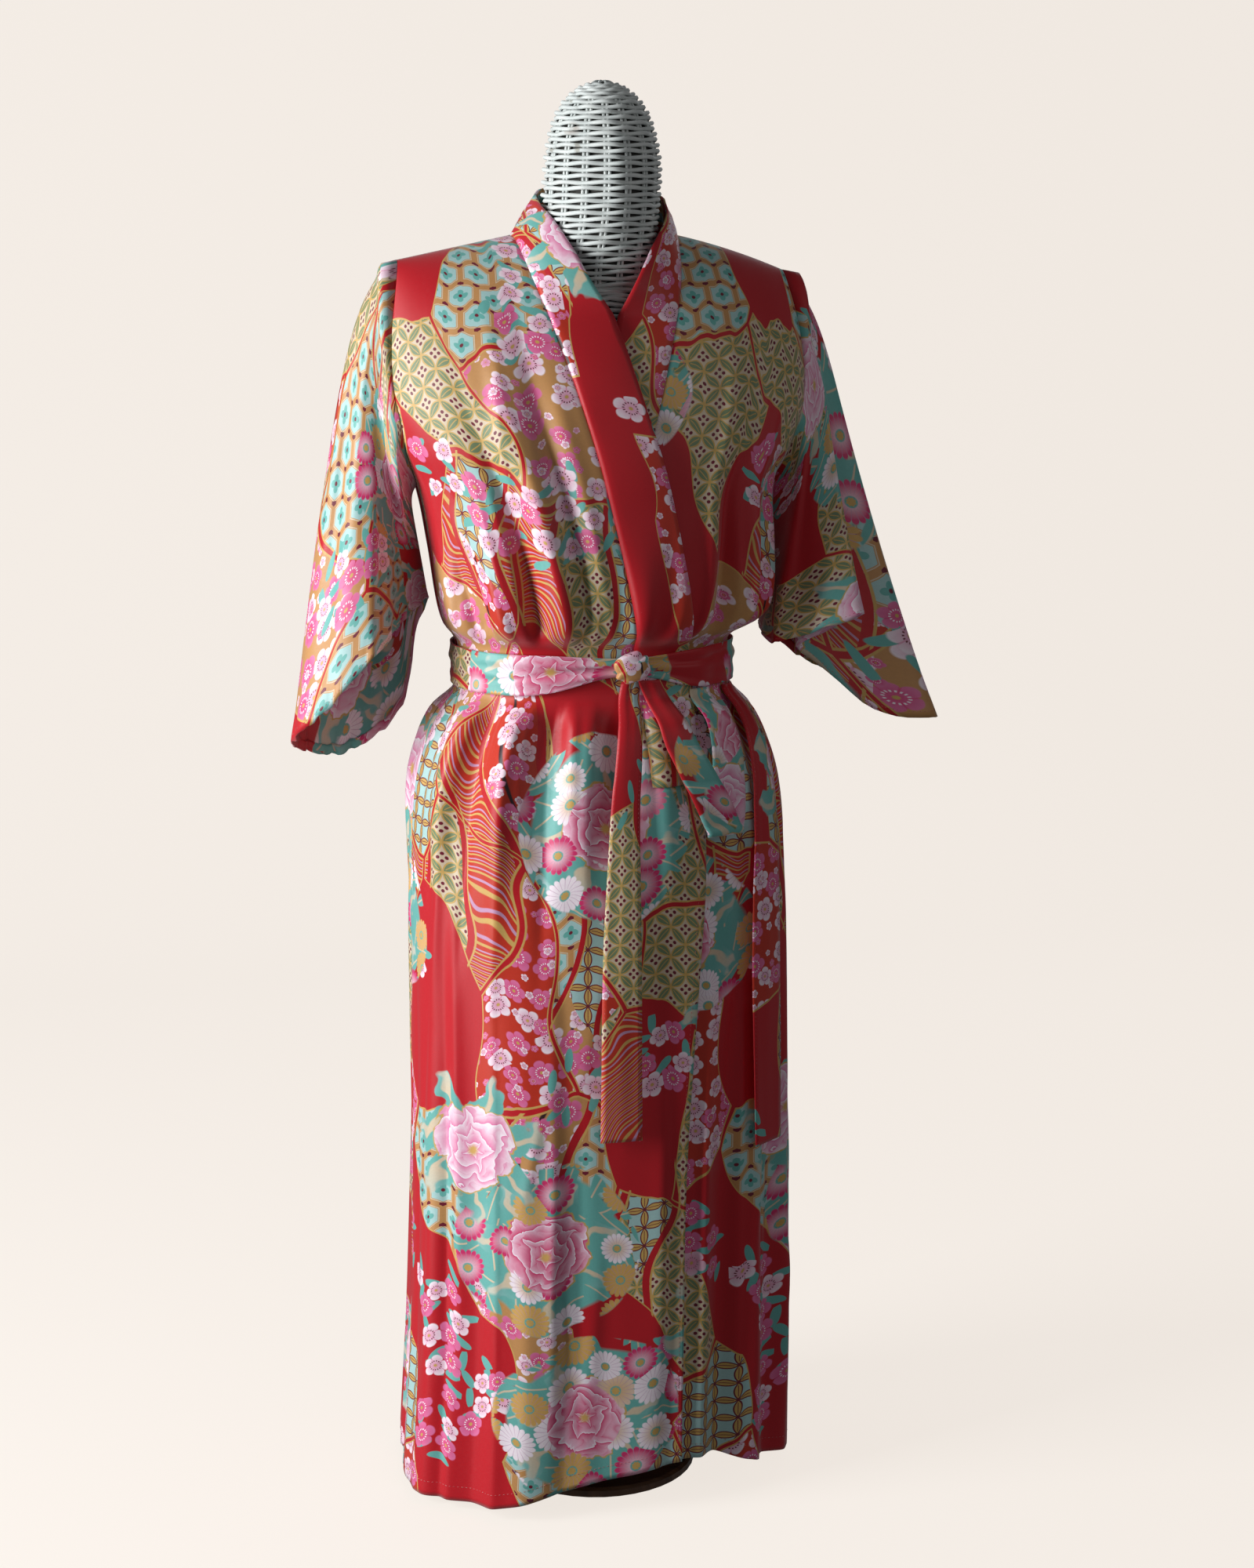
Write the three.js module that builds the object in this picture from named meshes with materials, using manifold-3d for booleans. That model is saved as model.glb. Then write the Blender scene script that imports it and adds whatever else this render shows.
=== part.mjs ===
// A kimono robe of printed cotton, wrapped right over left and tied with its own sash, worn by a
// limbless wicker dress form on a post and a round base. Millimetres, +Z up, the front faces -Y,
// the origin is on the floor under the post. Each cloth piece is a thin wall round a middle surface:
// a ring, a hanging tube or a ribbon that is worked out from the sizes and tables below.
import * as THREE from "three";
import { mergeVertices } from "three/addons/utils/BufferGeometryUtils.js";
import Module from "manifold-3d";

// ---- cloth
const clothWall = 1.8;
const bandWall = 2.4; // the collar band and the sash are sewn double
const seamGap = 0.3;
const layerLift = 5.5; // how far the upper front stands off the lower one where they overlap

// ---- heights of the robe, measured on its outside
const hemHeight = 15;
const bandEnd = 785; // the collar band is sewn to the fronts down to here
const beltHeight = 896;
const underarmHeight = 1080;
const neckPointHeight = 1329; // where the shoulder line meets the collar
const neckPointHalf = 84;
const shoulderTip = 202;
const shoulderSlope = 0.207;
const leftShoulderDrop = 12; // the left shoulder hangs lower at its tip
const shoulderLineY = 6;
const backNeckDrop = 0.13; // share of the shoulder's rise that the back neck is cut away
const armholeTurn = 72; // degrees from the front where the armhole edges lie above the underarm

// ---- outline of the body of the robe: half width, depth in front of and behind the axis, sideways shift
const bodySquareness = 2.3;
const shoulderRoundness = 1.9;
const bodyLevels = [
  { z: 15, wide: 211, fore: 150, back: 150, shift: -8 },
  { z: 170, wide: 205, fore: 148, back: 148, shift: -3 },
  { z: 370, wide: 202, fore: 146, back: 146, shift: 0 },
  { z: 570, wide: 202, fore: 145, back: 146, shift: 2 },
  { z: 690, wide: 198, fore: 143, back: 143, shift: 1 },
  { z: 770, wide: 190, fore: 139, back: 136, shift: -2 },
  { z: 820, wide: 175, fore: 129, back: 123, shift: -3 },
  { z: 850, wide: 160, fore: 118, back: 107, shift: -3 },
  { z: 871, wide: 144, fore: 105, back: 93, shift: -3 },
  { z: 896, wide: 144, fore: 105, back: 93, shift: -3 },
  { z: 921, wide: 144, fore: 105, back: 93, shift: -3 },
  { z: 936, wide: 161, fore: 121, back: 105, shift: 3 },
  { z: 960, wide: 171, fore: 129, back: 110, shift: 6 },
  { z: 1020, wide: 178, fore: 130, back: 108, shift: 4 },
  { z: 1080, wide: 186, fore: 128, back: 104, shift: 0 },
  { z: 1125, wide: 206, fore: 128, back: 102, shift: 0 },
  { z: 1180, wide: 222, fore: 128, back: 101, shift: 0 },
  { z: 1250, wide: 223, fore: 127, back: 100, shift: 0 },
  { z: 1329, wide: 211, fore: 126, back: 100, shift: 0 },
];

// ---- collar seam and free edge of each front, across from the centre towards the front's own side
const wrapLine = [
  { z: 15, seam: -30, free: -57 },
  { z: 170, seam: -30, free: -59 },
  { z: 370, seam: -30, free: -62 },
  { z: 582, seam: -30, free: -75 },
  { z: 735, seam: -28, free: -85 },
  { z: 820, seam: -22, free: -80 },
  { z: 896, seam: -17, free: -74 },
  { z: 955, seam: -10, free: -70 },
  { z: 1083, seam: 18, free: -46 },
  { z: 1172, seam: 43, free: -19 },
  { z: 1246, seam: 65, free: 5 },
  { z: 1287, seam: 76, free: 22 },
  { z: 1329, seam: 84, free: 40 },
];
// the free edge where the collar leaves the chest, stands round the neck and meets its other half
const standHeight = 1246;
const neckEdge = [
  { out: 22, y: -88, z: 1284 },
  { out: 40, y: -66, z: 1317 },
  { out: 57, y: -37, z: 1344 },
  { out: 66, y: 0, z: 1362 },
  { out: 57, y: 38, z: 1373 },
  { out: 32, y: 59, z: 1377 },
  { out: 0, y: 65, z: 1378 },
];
const headShift = 9; // the head and neck lean towards the robe's left, and the collar follows them
const collarRoll = 3; // how far the middle of the band stands out between seam and edge

// ---- how far the hem is drawn up above its level, by angle from the front
const hemWave = [
  { turn: -180, up: 0 },
  { turn: -120, up: 2 },
  { turn: -90, up: -4 },
  { turn: -60, up: -4 },
  { turn: -35, up: 0 },
  { turn: -15, up: 17 },
  { turn: 0, up: 29 },
  { turn: 15, up: 38 },
  { turn: 28, up: 34 },
  { turn: 40, up: 20 },
  { turn: 60, up: 4 },
  { turn: 90, up: -4 },
  { turn: 120, up: 2 },
  { turn: 180, up: 0 },
];

// ---- folds of the body cloth: angle round the body in degrees from the front towards +X at the upper
// and the lower end, the heights of both ends, how far it stands out, its half width in degrees, and
// how far down its length it is strongest
const folds = [
  // fronts, from the shoulders and chest down to the belt
  { from: -27, to: -15, top: 1270, low: 885, out: 6, half: 5.0, swell: 0.7 },
  { from: -40, to: -26, top: 1220, low: 885, out: -6, half: 5.0, swell: 0.72 },
  { from: -56, to: -37, top: 1140, low: 885, out: 8, half: 6.5, swell: 0.72 },
  { from: -66, to: -50, top: 1060, low: 885, out: -5, half: 5.0, swell: 0.68 },
  { from: -78, to: -64, top: 1050, low: 885, out: 6, half: 6.0, swell: 0.68 },
  { from: -8, to: -5, top: 1090, low: 885, out: -4, half: 4.0, swell: 0.72 },
  { from: 2, to: 4, top: 1070, low: 885, out: 4, half: 4.5, swell: 0.72 },
  { from: 33, to: 35, top: 1140, low: 885, out: -5, half: 5.0, swell: 0.7 },
  { from: 46, to: 45, top: 1160, low: 885, out: 7, half: 5.0, swell: 0.7 },
  { from: 60, to: 56, top: 1090, low: 885, out: -6, half: 4.5, swell: 0.7 },
  { from: 74, to: 68, top: 1110, low: 885, out: 7, half: 6.0, swell: 0.66 },
  // fronts, gathers that fade out below the belt
  { from: -14, to: -13, top: 905, low: 670, out: 6, half: 3.6, swell: 0.3 },
  { from: -24, to: -26, top: 905, low: 660, out: -6, half: 4.5, swell: 0.3 },
  { from: -36, to: -41, top: 905, low: 650, out: 6, half: 4.5, swell: 0.32 },
  { from: -49, to: -55, top: 905, low: 690, out: -5, half: 4.5, swell: 0.3 },
  { from: -62, to: -68, top: 905, low: 670, out: 7, half: 5.0, swell: 0.32 },
  { from: -77, to: -82, top: 905, low: 700, out: -5, half: 4.5, swell: 0.3 },
  { from: 0, to: -2, top: 905, low: 710, out: -4, half: 4.0, swell: 0.32 },
  { from: 11, to: 12, top: 905, low: 660, out: 5, half: 4.5, swell: 0.34 },
  { from: 42, to: 44, top: 905, low: 670, out: 6, half: 4.5, swell: 0.34 },
  { from: 54, to: 58, top: 905, low: 690, out: -6, half: 4.5, swell: 0.32 },
  { from: 67, to: 71, top: 905, low: 670, out: 6, half: 5.0, swell: 0.34 },
  // fronts, long soft folds down to the hem
  { from: -70, to: -64, top: 770, low: -330, out: 6, half: 9.0, swell: 0.62 },
  { from: -48, to: -44, top: 730, low: -330, out: -6, half: 8.0, swell: 0.62 },
  { from: -29, to: -25, top: 710, low: -330, out: 5, half: 8.0, swell: 0.6 },
  { from: -6, to: -4, top: 670, low: -330, out: -4, half: 8.0, swell: 0.6 },
  { from: 31, to: 29, top: 760, low: -430, out: -11, half: 6.0, swell: 0.6 },
  { from: 43, to: 42, top: 770, low: -430, out: 9, half: 6.5, swell: 0.6 },
  { from: 58, to: 57, top: 750, low: -330, out: -8, half: 6.0, swell: 0.6 },
  { from: 75, to: 74, top: 760, low: -330, out: 7, half: 8.0, swell: 0.6 },
  // back
  { from: 98, to: 96, top: 1090, low: 885, out: -5, half: 5.0, swell: 0.7 },
  { from: 114, to: 112, top: 1130, low: 885, out: 7, half: 6.5, swell: 0.7 },
  { from: 132, to: 134, top: 1150, low: 885, out: -5, half: 6.0, swell: 0.7 },
  { from: 150, to: 152, top: 1160, low: 885, out: 7, half: 7.0, swell: 0.7 },
  { from: 172, to: 170, top: 1150, low: 885, out: -5, half: 7.0, swell: 0.72 },
  { from: 191, to: 190, top: 1170, low: 885, out: 6, half: 7.0, swell: 0.7 },
  { from: 213, to: 210, top: 1140, low: 885, out: -5, half: 6.5, swell: 0.7 },
  { from: 232, to: 230, top: 1150, low: 885, out: 7, half: 7.0, swell: 0.7 },
  { from: 252, to: 250, top: 1090, low: 885, out: -5, half: 6.0, swell: 0.7 },
  { from: 92, to: 90, top: 905, low: 660, out: -5, half: 5.0, swell: 0.32 },
  { from: 106, to: 106, top: 905, low: 650, out: 6, half: 6.0, swell: 0.34 },
  { from: 124, to: 122, top: 905, low: 660, out: -5, half: 6.0, swell: 0.32 },
  { from: 142, to: 141, top: 905, low: 650, out: 7, half: 6.5, swell: 0.34 },
  { from: 162, to: 162, top: 905, low: 670, out: -5, half: 6.5, swell: 0.32 },
  { from: 181, to: 181, top: 905, low: 650, out: 6, half: 6.5, swell: 0.34 },
  { from: 200, to: 201, top: 905, low: 670, out: -5, half: 6.5, swell: 0.32 },
  { from: 219, to: 221, top: 905, low: 650, out: 7, half: 6.5, swell: 0.34 },
  { from: 238, to: 241, top: 905, low: 670, out: -5, half: 6.0, swell: 0.32 },
  { from: 256, to: 258, top: 905, low: 660, out: 6, half: 6.0, swell: 0.34 },
  { from: 104, to: 103, top: 770, low: -330, out: -7, half: 9.0, swell: 0.6 },
  { from: 130, to: 128, top: 770, low: -330, out: 8, half: 9.0, swell: 0.6 },
  { from: 156, to: 155, top: 760, low: -330, out: -8, half: 9.0, swell: 0.6 },
  { from: 183, to: 182, top: 770, low: -330, out: 8, half: 9.0, swell: 0.6 },
  { from: 208, to: 209, top: 760, low: -330, out: -7, half: 9.0, swell: 0.6 },
  { from: 235, to: 236, top: 770, low: -330, out: 8, half: 9.0, swell: 0.6 },
  { from: 260, to: 261, top: 750, low: -330, out: -6, half: 8.0, swell: 0.6 },
];
const pinchFrom = 25; // the sash presses the folds flat this far above and below its middle
const pinchTo = 52;

// ---- sleeves: lines down the tube. at is the share of the way round from the underarm over the front,
// out, y and z are where the line ends on the cuff
const sleeveRight = {
  outPower: 0.65,
  forePower: 1.5,
  swell: 20,
  lines: [
    { at: 0.0, out: 166, y: 54, z: 956 },
    { at: 0.1, out: 186, y: 30, z: 946 },
    { at: 0.2, out: 210, y: 3, z: 931 },
    { at: 0.25, out: 222, y: -24, z: 922 },
    { at: 0.3, out: 240, y: -50, z: 913 },
    { at: 0.35, out: 262, y: -44, z: 888 },
    { at: 0.4, out: 286, y: -30, z: 858 },
    { at: 0.5, out: 314, y: 10, z: 823 },
    { at: 0.62, out: 300, y: 84, z: 796 },
    { at: 0.76, out: 246, y: 116, z: 785 },
    { at: 0.9, out: 188, y: 98, z: 836 },
    { at: 0.95, out: 176, y: 76, z: 918 },
  ],
};
const sleeveLeft = {
  outPower: 1.05,
  forePower: 1.5,
  swell: 34,
  lines: [
    { at: 0.0, out: 186, y: 20, z: 922 },
    { at: 0.1, out: 174, y: -60, z: 914 },
    { at: 0.15, out: 197, y: -75, z: 921 },
    { at: 0.2, out: 234, y: -96, z: 936 },
    { at: 0.25, out: 264, y: -92, z: 945 },
    { at: 0.3, out: 247, y: -68, z: 931 },
    { at: 0.35, out: 206, y: -60, z: 911 },
    { at: 0.4, out: 220, y: -46, z: 895 },
    { at: 0.45, out: 298, y: -47, z: 834 },
    { at: 0.5, out: 367, y: -39, z: 823 },
    { at: 0.65, out: 328, y: 26, z: 842 },
    { at: 0.83, out: 248, y: 56, z: 875 },
  ],
};
const underarmSwell = 9; // how strongly a sleeve springs away from the armhole at the underarm
const inPower = 1.6; // where a line ends nearer the body than it starts, it hangs straight before it comes in
const sleeveRoom = 4; // between a sleeve and the side of the body, middle to middle
const sleeveRamp = 10; // reached this far below the armhole's edge
const sleeveRows = [0, 0.06, 0.12, 0.19, 0.26, 0.34, 0.43, 0.52, 0.62, 0.72, 0.82, 0.91, 1];

// ---- sash
const sashWidth = 42;
const knotGather = 0.58; // share of its width that the belt loses at the knot
const sashGap = 0.7;
const knot = { x: 10, z: 904, wide: 34, tall: 30, deep: 15 };
const tailStandOff = 3.1; // between the middles of a hanging end and of the cloth under it
const tailBow = 0.6; // a hanging end follows the round of the skirt this much
// how far from the middle of the front each hanging end lies, in degrees, and how wide it shows
const tailCentre = [
  { z: 888, turn: 4, wide: 20 },
  { z: 830, turn: 1, wide: 26 },
  { z: 730, turn: -1, wide: 32 },
  { z: 610, turn: -2, wide: 40 },
  { z: 418, turn: -2, wide: 44 },
];
const tailSide = [
  { z: 873, turn: 60, wide: 24 },
  { z: 830, turn: 53, wide: 32 },
  { z: 770, turn: 47, wide: 36 },
  { z: 670, turn: 44, wide: 42 },
  { z: 570, turn: 43, wide: 44 },
  { z: 390, turn: 46, wide: 44 },
];
// the half bow: front leg from the knot, rear leg up to the belt
const bowLoop = [
  { z: 889, turn: 10, rear: 35, wide: 24 },
  { z: 868, turn: 13, rear: 34, wide: 27 },
  { z: 830, turn: 15, rear: 33, wide: 36 },
  { z: 785, turn: 20, rear: 30, wide: 42 },
  { z: 736, turn: 26, rear: 27, wide: 44 },
];
const loopFrontTop = 889;
const loopRearTop = 875.6;
const loopGap = 5;

// ---- dress form, post and base
const formLevels = [
  { z: 622, wide: 138, fore: 96, back: 100 },
  { z: 638, wide: 154, fore: 110, back: 114 },
  { z: 690, wide: 162, fore: 117, back: 121 },
  { z: 760, wide: 160, fore: 115, back: 118 },
  { z: 820, wide: 143, fore: 102, back: 100 },
  { z: 896, wide: 122, fore: 86, back: 78 },
  { z: 960, wide: 132, fore: 96, back: 84 },
  { z: 1020, wide: 148, fore: 108, back: 88 },
  { z: 1080, wide: 160, fore: 112, back: 88 },
  { z: 1125, wide: 170, fore: 113, back: 88 },
  { z: 1180, wide: 180, fore: 113, back: 88 },
  { z: 1250, wide: 188, fore: 111, back: 86 },
  { z: 1329, wide: 194, fore: 108, back: 84 },
];
const formShoulderClear = 1.6; // from the cloth's middle surface down to the form along the shoulders
const formNeckDip = 7; // the form is lower than that beside its neck
const headLevels = [
  { z: 1240, wide: 66, fore: 66, back: 54 },
  { z: 1280, wide: 60, fore: 66, back: 50 },
  { z: 1308, wide: 58, fore: 69, back: 47 },
  { z: 1328, wide: 57.5, fore: 75, back: 46 },
  { z: 1348, wide: 57, fore: 78, back: 46 },
  { z: 1372, wide: 57, fore: 75, back: 49 },
  { z: 1390, wide: 57, fore: 72, back: 53 },
  { z: 1414, wide: 54.5, fore: 67, back: 58 },
  { z: 1442, wide: 47, fore: 56, back: 54 },
  { z: 1460, wide: 37, fore: 43, back: 43 },
  { z: 1473, wide: 22, fore: 25, back: 25 },
  { z: 1479, wide: 8, fore: 9, back: 9 },
];
const noseRidge = { low: 1332, top: 1446, out: 5, half: 11 };
const post = { radius: 15, sides: 32 };
const base = { radius: 108, thickness: 10, chamfer: 3, sides: 40 };

// ---- how finely each surface is divided
const frontColumns = 23;
const frontBandColumns = 4;
const backShoulderColumns = 9;
const backNeckColumns = 6;
const armholeRows = 10;
const lowerRows = [
  hemHeight, 160, 310, 450, 570, 660, 730, bandEnd, 820, 850, 871, beltHeight, 921, 936, 960, 992, 1033,
  underarmHeight,
];
const beltColumns = 52;
const formColumns = 28;
const headColumns = 24;

const { degToRad, lerp } = THREE.MathUtils;
const ease = (low, high, at) => THREE.MathUtils.smoothstep(at, low, high);
const power = (value, exponent) => Math.sign(value) * Math.abs(value) ** exponent;

// ---- tables

// The value of a column at a height, on a smooth curve through the table's rows. by names another key.
function read(table, column, at, by = "z") {
  const last = table.length - 1;
  const falling = table[last][by] < table[0][by];
  const rows = falling ? [...table].reverse() : table;
  if (at <= rows[0][by]) return rows[0][column];
  if (at >= rows[last][by]) return rows[last][column];
  let i = 0;
  while (at > rows[i + 1][by]) i++;
  const slope = (a, b) => (rows[b][column] - rows[a][column]) / (rows[b][by] - rows[a][by]);
  const step = rows[i + 1][by] - rows[i][by];
  const share = (at - rows[i][by]) / step;
  const enter = i > 0 ? slope(i - 1, i + 1) : slope(0, 1);
  const leave = i + 1 < last ? slope(i, i + 2) : slope(i, i + 1);
  const square = share * share;
  const cube = square * share;
  return (
    rows[i][column] * (2 * cube - 3 * square + 1) +
    enter * step * (cube - 2 * square + share) +
    rows[i + 1][column] * (3 * square - 2 * cube) +
    leave * step * (cube - square)
  );
}

// ---- the body's surface

const tipShare = (x) => Math.max(0, (x - neckPointHalf) / (shoulderTip - neckPointHalf));
const shoulderHeight = (x) =>
  neckPointHeight + (neckPointHalf - Math.abs(x)) * shoulderSlope - leftShoulderDrop * tipShare(x) ** 2;
const riseOf = (level) => Math.max(0, (level - underarmHeight) / (neckPointHeight - underarmHeight));

// How far the folds push the cloth out at an angle (degrees) and height.
function foldOut(turn, z) {
  const pinch = ease(pinchFrom, pinchTo, Math.abs(z - beltHeight));
  let out = 0;
  for (const fold of folds) {
    const along = (fold.top - z) / (fold.top - fold.low);
    if (along <= 0 || along >= 1) continue;
    const centre = lerp(fold.from, fold.to, along);
    const apart = ((((turn - centre + 180) % 360) + 360) % 360) - 180;
    const strength = Math.sin(Math.PI * along ** (Math.log(0.5) / Math.log(fold.swell)));
    out += fold.out * strength * Math.exp(-((apart / fold.half) ** 2));
  }
  return out * pinch;
}

// A point of the robe's middle surface. turn is in degrees from the front towards +X. level is the height
// up to the underarm, and above it the height that the row has at the neck point.
function bodyPoint(turn, level, lift = 0, levels = bodyLevels, folded = true) {
  const sine = Math.sin(degToRad(turn));
  const cosine = Math.cos(degToRad(turn));
  const across = power(sine, 2 / bodySquareness);
  const along = power(cosine, 2 / bodySquareness);
  const rise = riseOf(level);
  const wide = read(levels, "wide", level);
  const deep = read(levels, cosine > 0 ? "fore" : "back", level);
  const narrowing = (1 - rise ** shoulderRoundness) ** (1 / shoulderRoundness);
  const x = (levels === bodyLevels ? read(levels, "shift", level) : 0) + wide * across;
  const y = -deep * along * narrowing + shoulderLineY * rise;
  const around = ((((turn + 180) % 360) + 360) % 360) - 180;
  const fading = 1 - ease(hemHeight, hemHeight + 300, level);
  const drawn = folded ? read(hemWave, "up", around, "turn") * fading : 0;
  const z = rise > 0 ? underarmHeight + (shoulderHeight(x) - underarmHeight) * rise : level + drawn;
  const point = new THREE.Vector3(x, y, z);
  const reach = neckPointHeight - underarmHeight;
  const flat = narrowing ** (shoulderRoundness - 1);
  const out = new THREE.Vector3(
    (sine / wide) * flat,
    (-cosine / deep) * flat,
    rise > 0 ? rise ** (shoulderRoundness - 1) / reach : 0,
  ).normalize();
  return point.addScaledVector(out, lift + (folded ? foldOut(turn, level) : 0));
}

// The angle at which the body's outline at a level has this x.
function turnAt(x, level) {
  const across = (x - read(bodyLevels, "shift", level)) / read(bodyLevels, "wide", level);
  return THREE.MathUtils.radToDeg(Math.asin(power(across, bodySquareness / 2)));
}

// The angle of the side seam, and above the underarm of the armhole's front edge.
function sideTurn(level) {
  const opened = Math.min(1, riseOf(level) / 0.35);
  return 90 - (90 - armholeTurn) * Math.sin((opened * Math.PI) / 2);
}

const upperRows = Array.from(
  { length: armholeRows },
  (_, i) => underarmHeight + (neckPointHeight - underarmHeight) * (1 - (1 - (i + 1) / armholeRows) ** 1.5),
);
const bodyRows = [...lowerRows, ...upperRows];

// The upper front stands off the lower one where they overlap. side is -1 for the wearer's right.
function liftOf(side, ownTurn, level) {
  if (side > 0) return 0;
  return layerLift * (1 - ease(32, 60, ownTurn)) * (1 - ease(1246, 1310, level));
}

// A point on a front at an angle that is counted from the centre towards the front's own side.
const frontPoint = (side, ownTurn, level) => bodyPoint(side * ownTurn, level, liftOf(side, ownTurn, level));
const ownTurnAt = (side, own, level) => side * turnAt(side * own, level);

// ---- sheets: a middle surface as points and triangles

const keyOf = (p) => `${Math.round(p.x * 100)},${Math.round(p.y * 100)},${Math.round(p.z * 100)}`;

// A sheet from a grid of points, with the cells that keep() refuses left out.
function gridSheet(grid, { closed = false, keep = () => true } = {}) {
  const points = [];
  const faces = [];
  const index = new Map();
  const indexOf = (p) => {
    const key = keyOf(p);
    if (!index.has(key)) index.set(key, points.push(p.clone()) - 1);
    return index.get(key);
  };
  const columns = grid[0].length;
  for (let r = 0; r + 1 < grid.length; r++) {
    for (let c = 0; c < columns - (closed ? 0 : 1); c++) {
      if (!keep(r, c)) continue;
      const next = (c + 1) % columns;
      const corners = [grid[r][c], grid[r][next], grid[r + 1][next], grid[r + 1][c]].map(indexOf);
      const [a, b, d, e] = corners;
      const firstCut = points[a].distanceTo(points[d]) <= points[b].distanceTo(points[e]);
      const cut = firstCut ? [[a, b, d], [a, d, e]] : [[a, b, e], [b, d, e]];
      for (const f of cut) if (new Set(f).size === 3) faces.push(f);
    }
  }
  return { points, faces };
}

const faceNormal = (sheet, [a, b, c]) => {
  const first = sheet.points[b].clone().sub(sheet.points[a]);
  return first.cross(sheet.points[c].clone().sub(sheet.points[a]));
};

// Normals at points that several sheets share, so that the walls meet square at a seam.
function sharedNormals(sheets) {
  const sums = new Map();
  for (const sheet of sheets) {
    for (const face of sheet.faces) {
      const normal = faceNormal(sheet, face);
      for (const i of face) {
        const key = keyOf(sheet.points[i]);
        if (!sums.has(key)) sums.set(key, new THREE.Vector3());
        sums.get(key).add(normal);
      }
    }
  }
  return sums;
}

// On the shoulder line the fronts and the back share one upward normal.
function seamNormal(point, sums) {
  const onShoulder =
    Math.abs(point.x) > neckPointHalf + 1 &&
    Math.abs(point.z - shoulderHeight(point.x)) < 0.05 &&
    Math.abs(point.y - shoulderLineY) < 0.05;
  if (onShoulder) return new THREE.Vector3(Math.sign(point.x) * shoulderSlope, 0, 1).normalize();
  return sums.get(keyOf(point)).clone().normalize();
}

// The closed wall round a sheet. Its edges draw back by half a seam gap.
function wallOf(sheet, wall, sums = sharedNormals([sheet]), draw = seamGap / 2 + 0.05) {
  const normals = sheet.points.map((p) => seamNormal(p, sums));
  const edges = new Map();
  for (const face of sheet.faces)
    face.forEach((a, i) => {
      const b = face[(i + 1) % 3];
      if (!edges.delete(`${b},${a}`)) edges.set(`${a},${b}`, [a, b]);
    });
  const rim = [...edges.values()];
  const inward = new Map(rim.flat().map((i) => [i, new THREE.Vector3()]));
  for (const face of sheet.faces) {
    const centre = face.reduce((sum, i) => sum.add(sheet.points[i]), new THREE.Vector3()).divideScalar(3);
    for (const i of face)
      if (inward.has(i)) inward.get(i).add(centre.clone().sub(sheet.points[i]).normalize());
  }
  const drawn = sheet.points.map((p, i) => {
    if (!inward.has(i)) return p.clone();
    const pull = inward.get(i).projectOnPlane(normals[i]).normalize();
    return p.clone().addScaledVector(pull, draw);
  });
  const count = sheet.points.length;
  const positions = [];
  for (const reach of [wall / 2, -wall / 2])
    drawn.forEach((p, i) => positions.push(...p.clone().addScaledVector(normals[i], reach).toArray()));
  const triangles = sheet.faces.flatMap(([a, b, c]) => [a, b, c, a + count, c + count, b + count]);
  for (const [a, b] of rim) triangles.push(b, a, a + count, b, a + count, b + count);
  const geometry = new THREE.BufferGeometry();
  geometry.setAttribute("position", new THREE.Float32BufferAttribute(positions, 3));
  geometry.setIndex(triangles);
  return geometry;
}

// ---- fronts, collar and back

// One front as a grid of rows from hem to shoulder. Its first columns are the collar band's.
function frontGrid(side) {
  return bodyRows.map((level) => {
    const free = ownTurnAt(side, read(wrapLine, "free", level), level);
    const seam = ownTurnAt(side, read(wrapLine, "seam", level), level);
    const edge = sideTurn(level);
    const row = [];
    for (let c = 0; c < frontBandColumns; c++)
      row.push(frontPoint(side, lerp(free, seam, c / frontBandColumns), level));
    for (let c = 0; c <= frontColumns; c++)
      row.push(frontPoint(side, lerp(seam, edge, c / frontColumns), level));
    return side < 0 ? row.reverse() : row;
  });
}

const isBand = (side, r, c) => {
  const fromFree = side < 0 ? frontBandColumns + frontColumns - 1 - c : c;
  return fromFree < frontBandColumns && bodyRows[r] >= bandEnd;
};

const fronts = { right: frontGrid(-1), left: frontGrid(1) };
const frontSheets = {
  right: gridSheet(fronts.right, { keep: (r, c) => !isBand(-1, r, c) }),
  left: gridSheet(fronts.left, { keep: (r, c) => !isBand(1, r, c) }),
};

// The back from its left side seam (+X) round to its right one, with the neck cut out at the top.
function backGrid() {
  return bodyRows.map((level) => {
    const edge = sideTurn(level);
    const neck = turnAt(neckPointHalf, level);
    const row = [];
    const add = (turn) => {
      const x = bodyPoint(turn, level, 0, bodyLevels, false).x;
      const inside = Math.max(0, 1 - (x / neckPointHalf) ** 2);
      const cut = 1 - backNeckDrop * Math.sqrt(inside);
      const rise = riseOf(level) * cut;
      const lowered = rise > 0 ? underarmHeight + (neckPointHeight - underarmHeight) * rise : level;
      row.push(bodyPoint(180 - turn, lowered));
    };
    for (let c = 0; c < backShoulderColumns; c++) add(lerp(edge, neck, c / backShoulderColumns));
    for (let c = 0; c < backNeckColumns; c++) add(lerp(neck, -neck, c / backNeckColumns));
    for (let c = 0; c <= backShoulderColumns; c++) add(lerp(-neck, -edge, c / backShoulderColumns));
    return row;
  });
}
const back = backGrid();
const backSheet = gridSheet(back);

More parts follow.
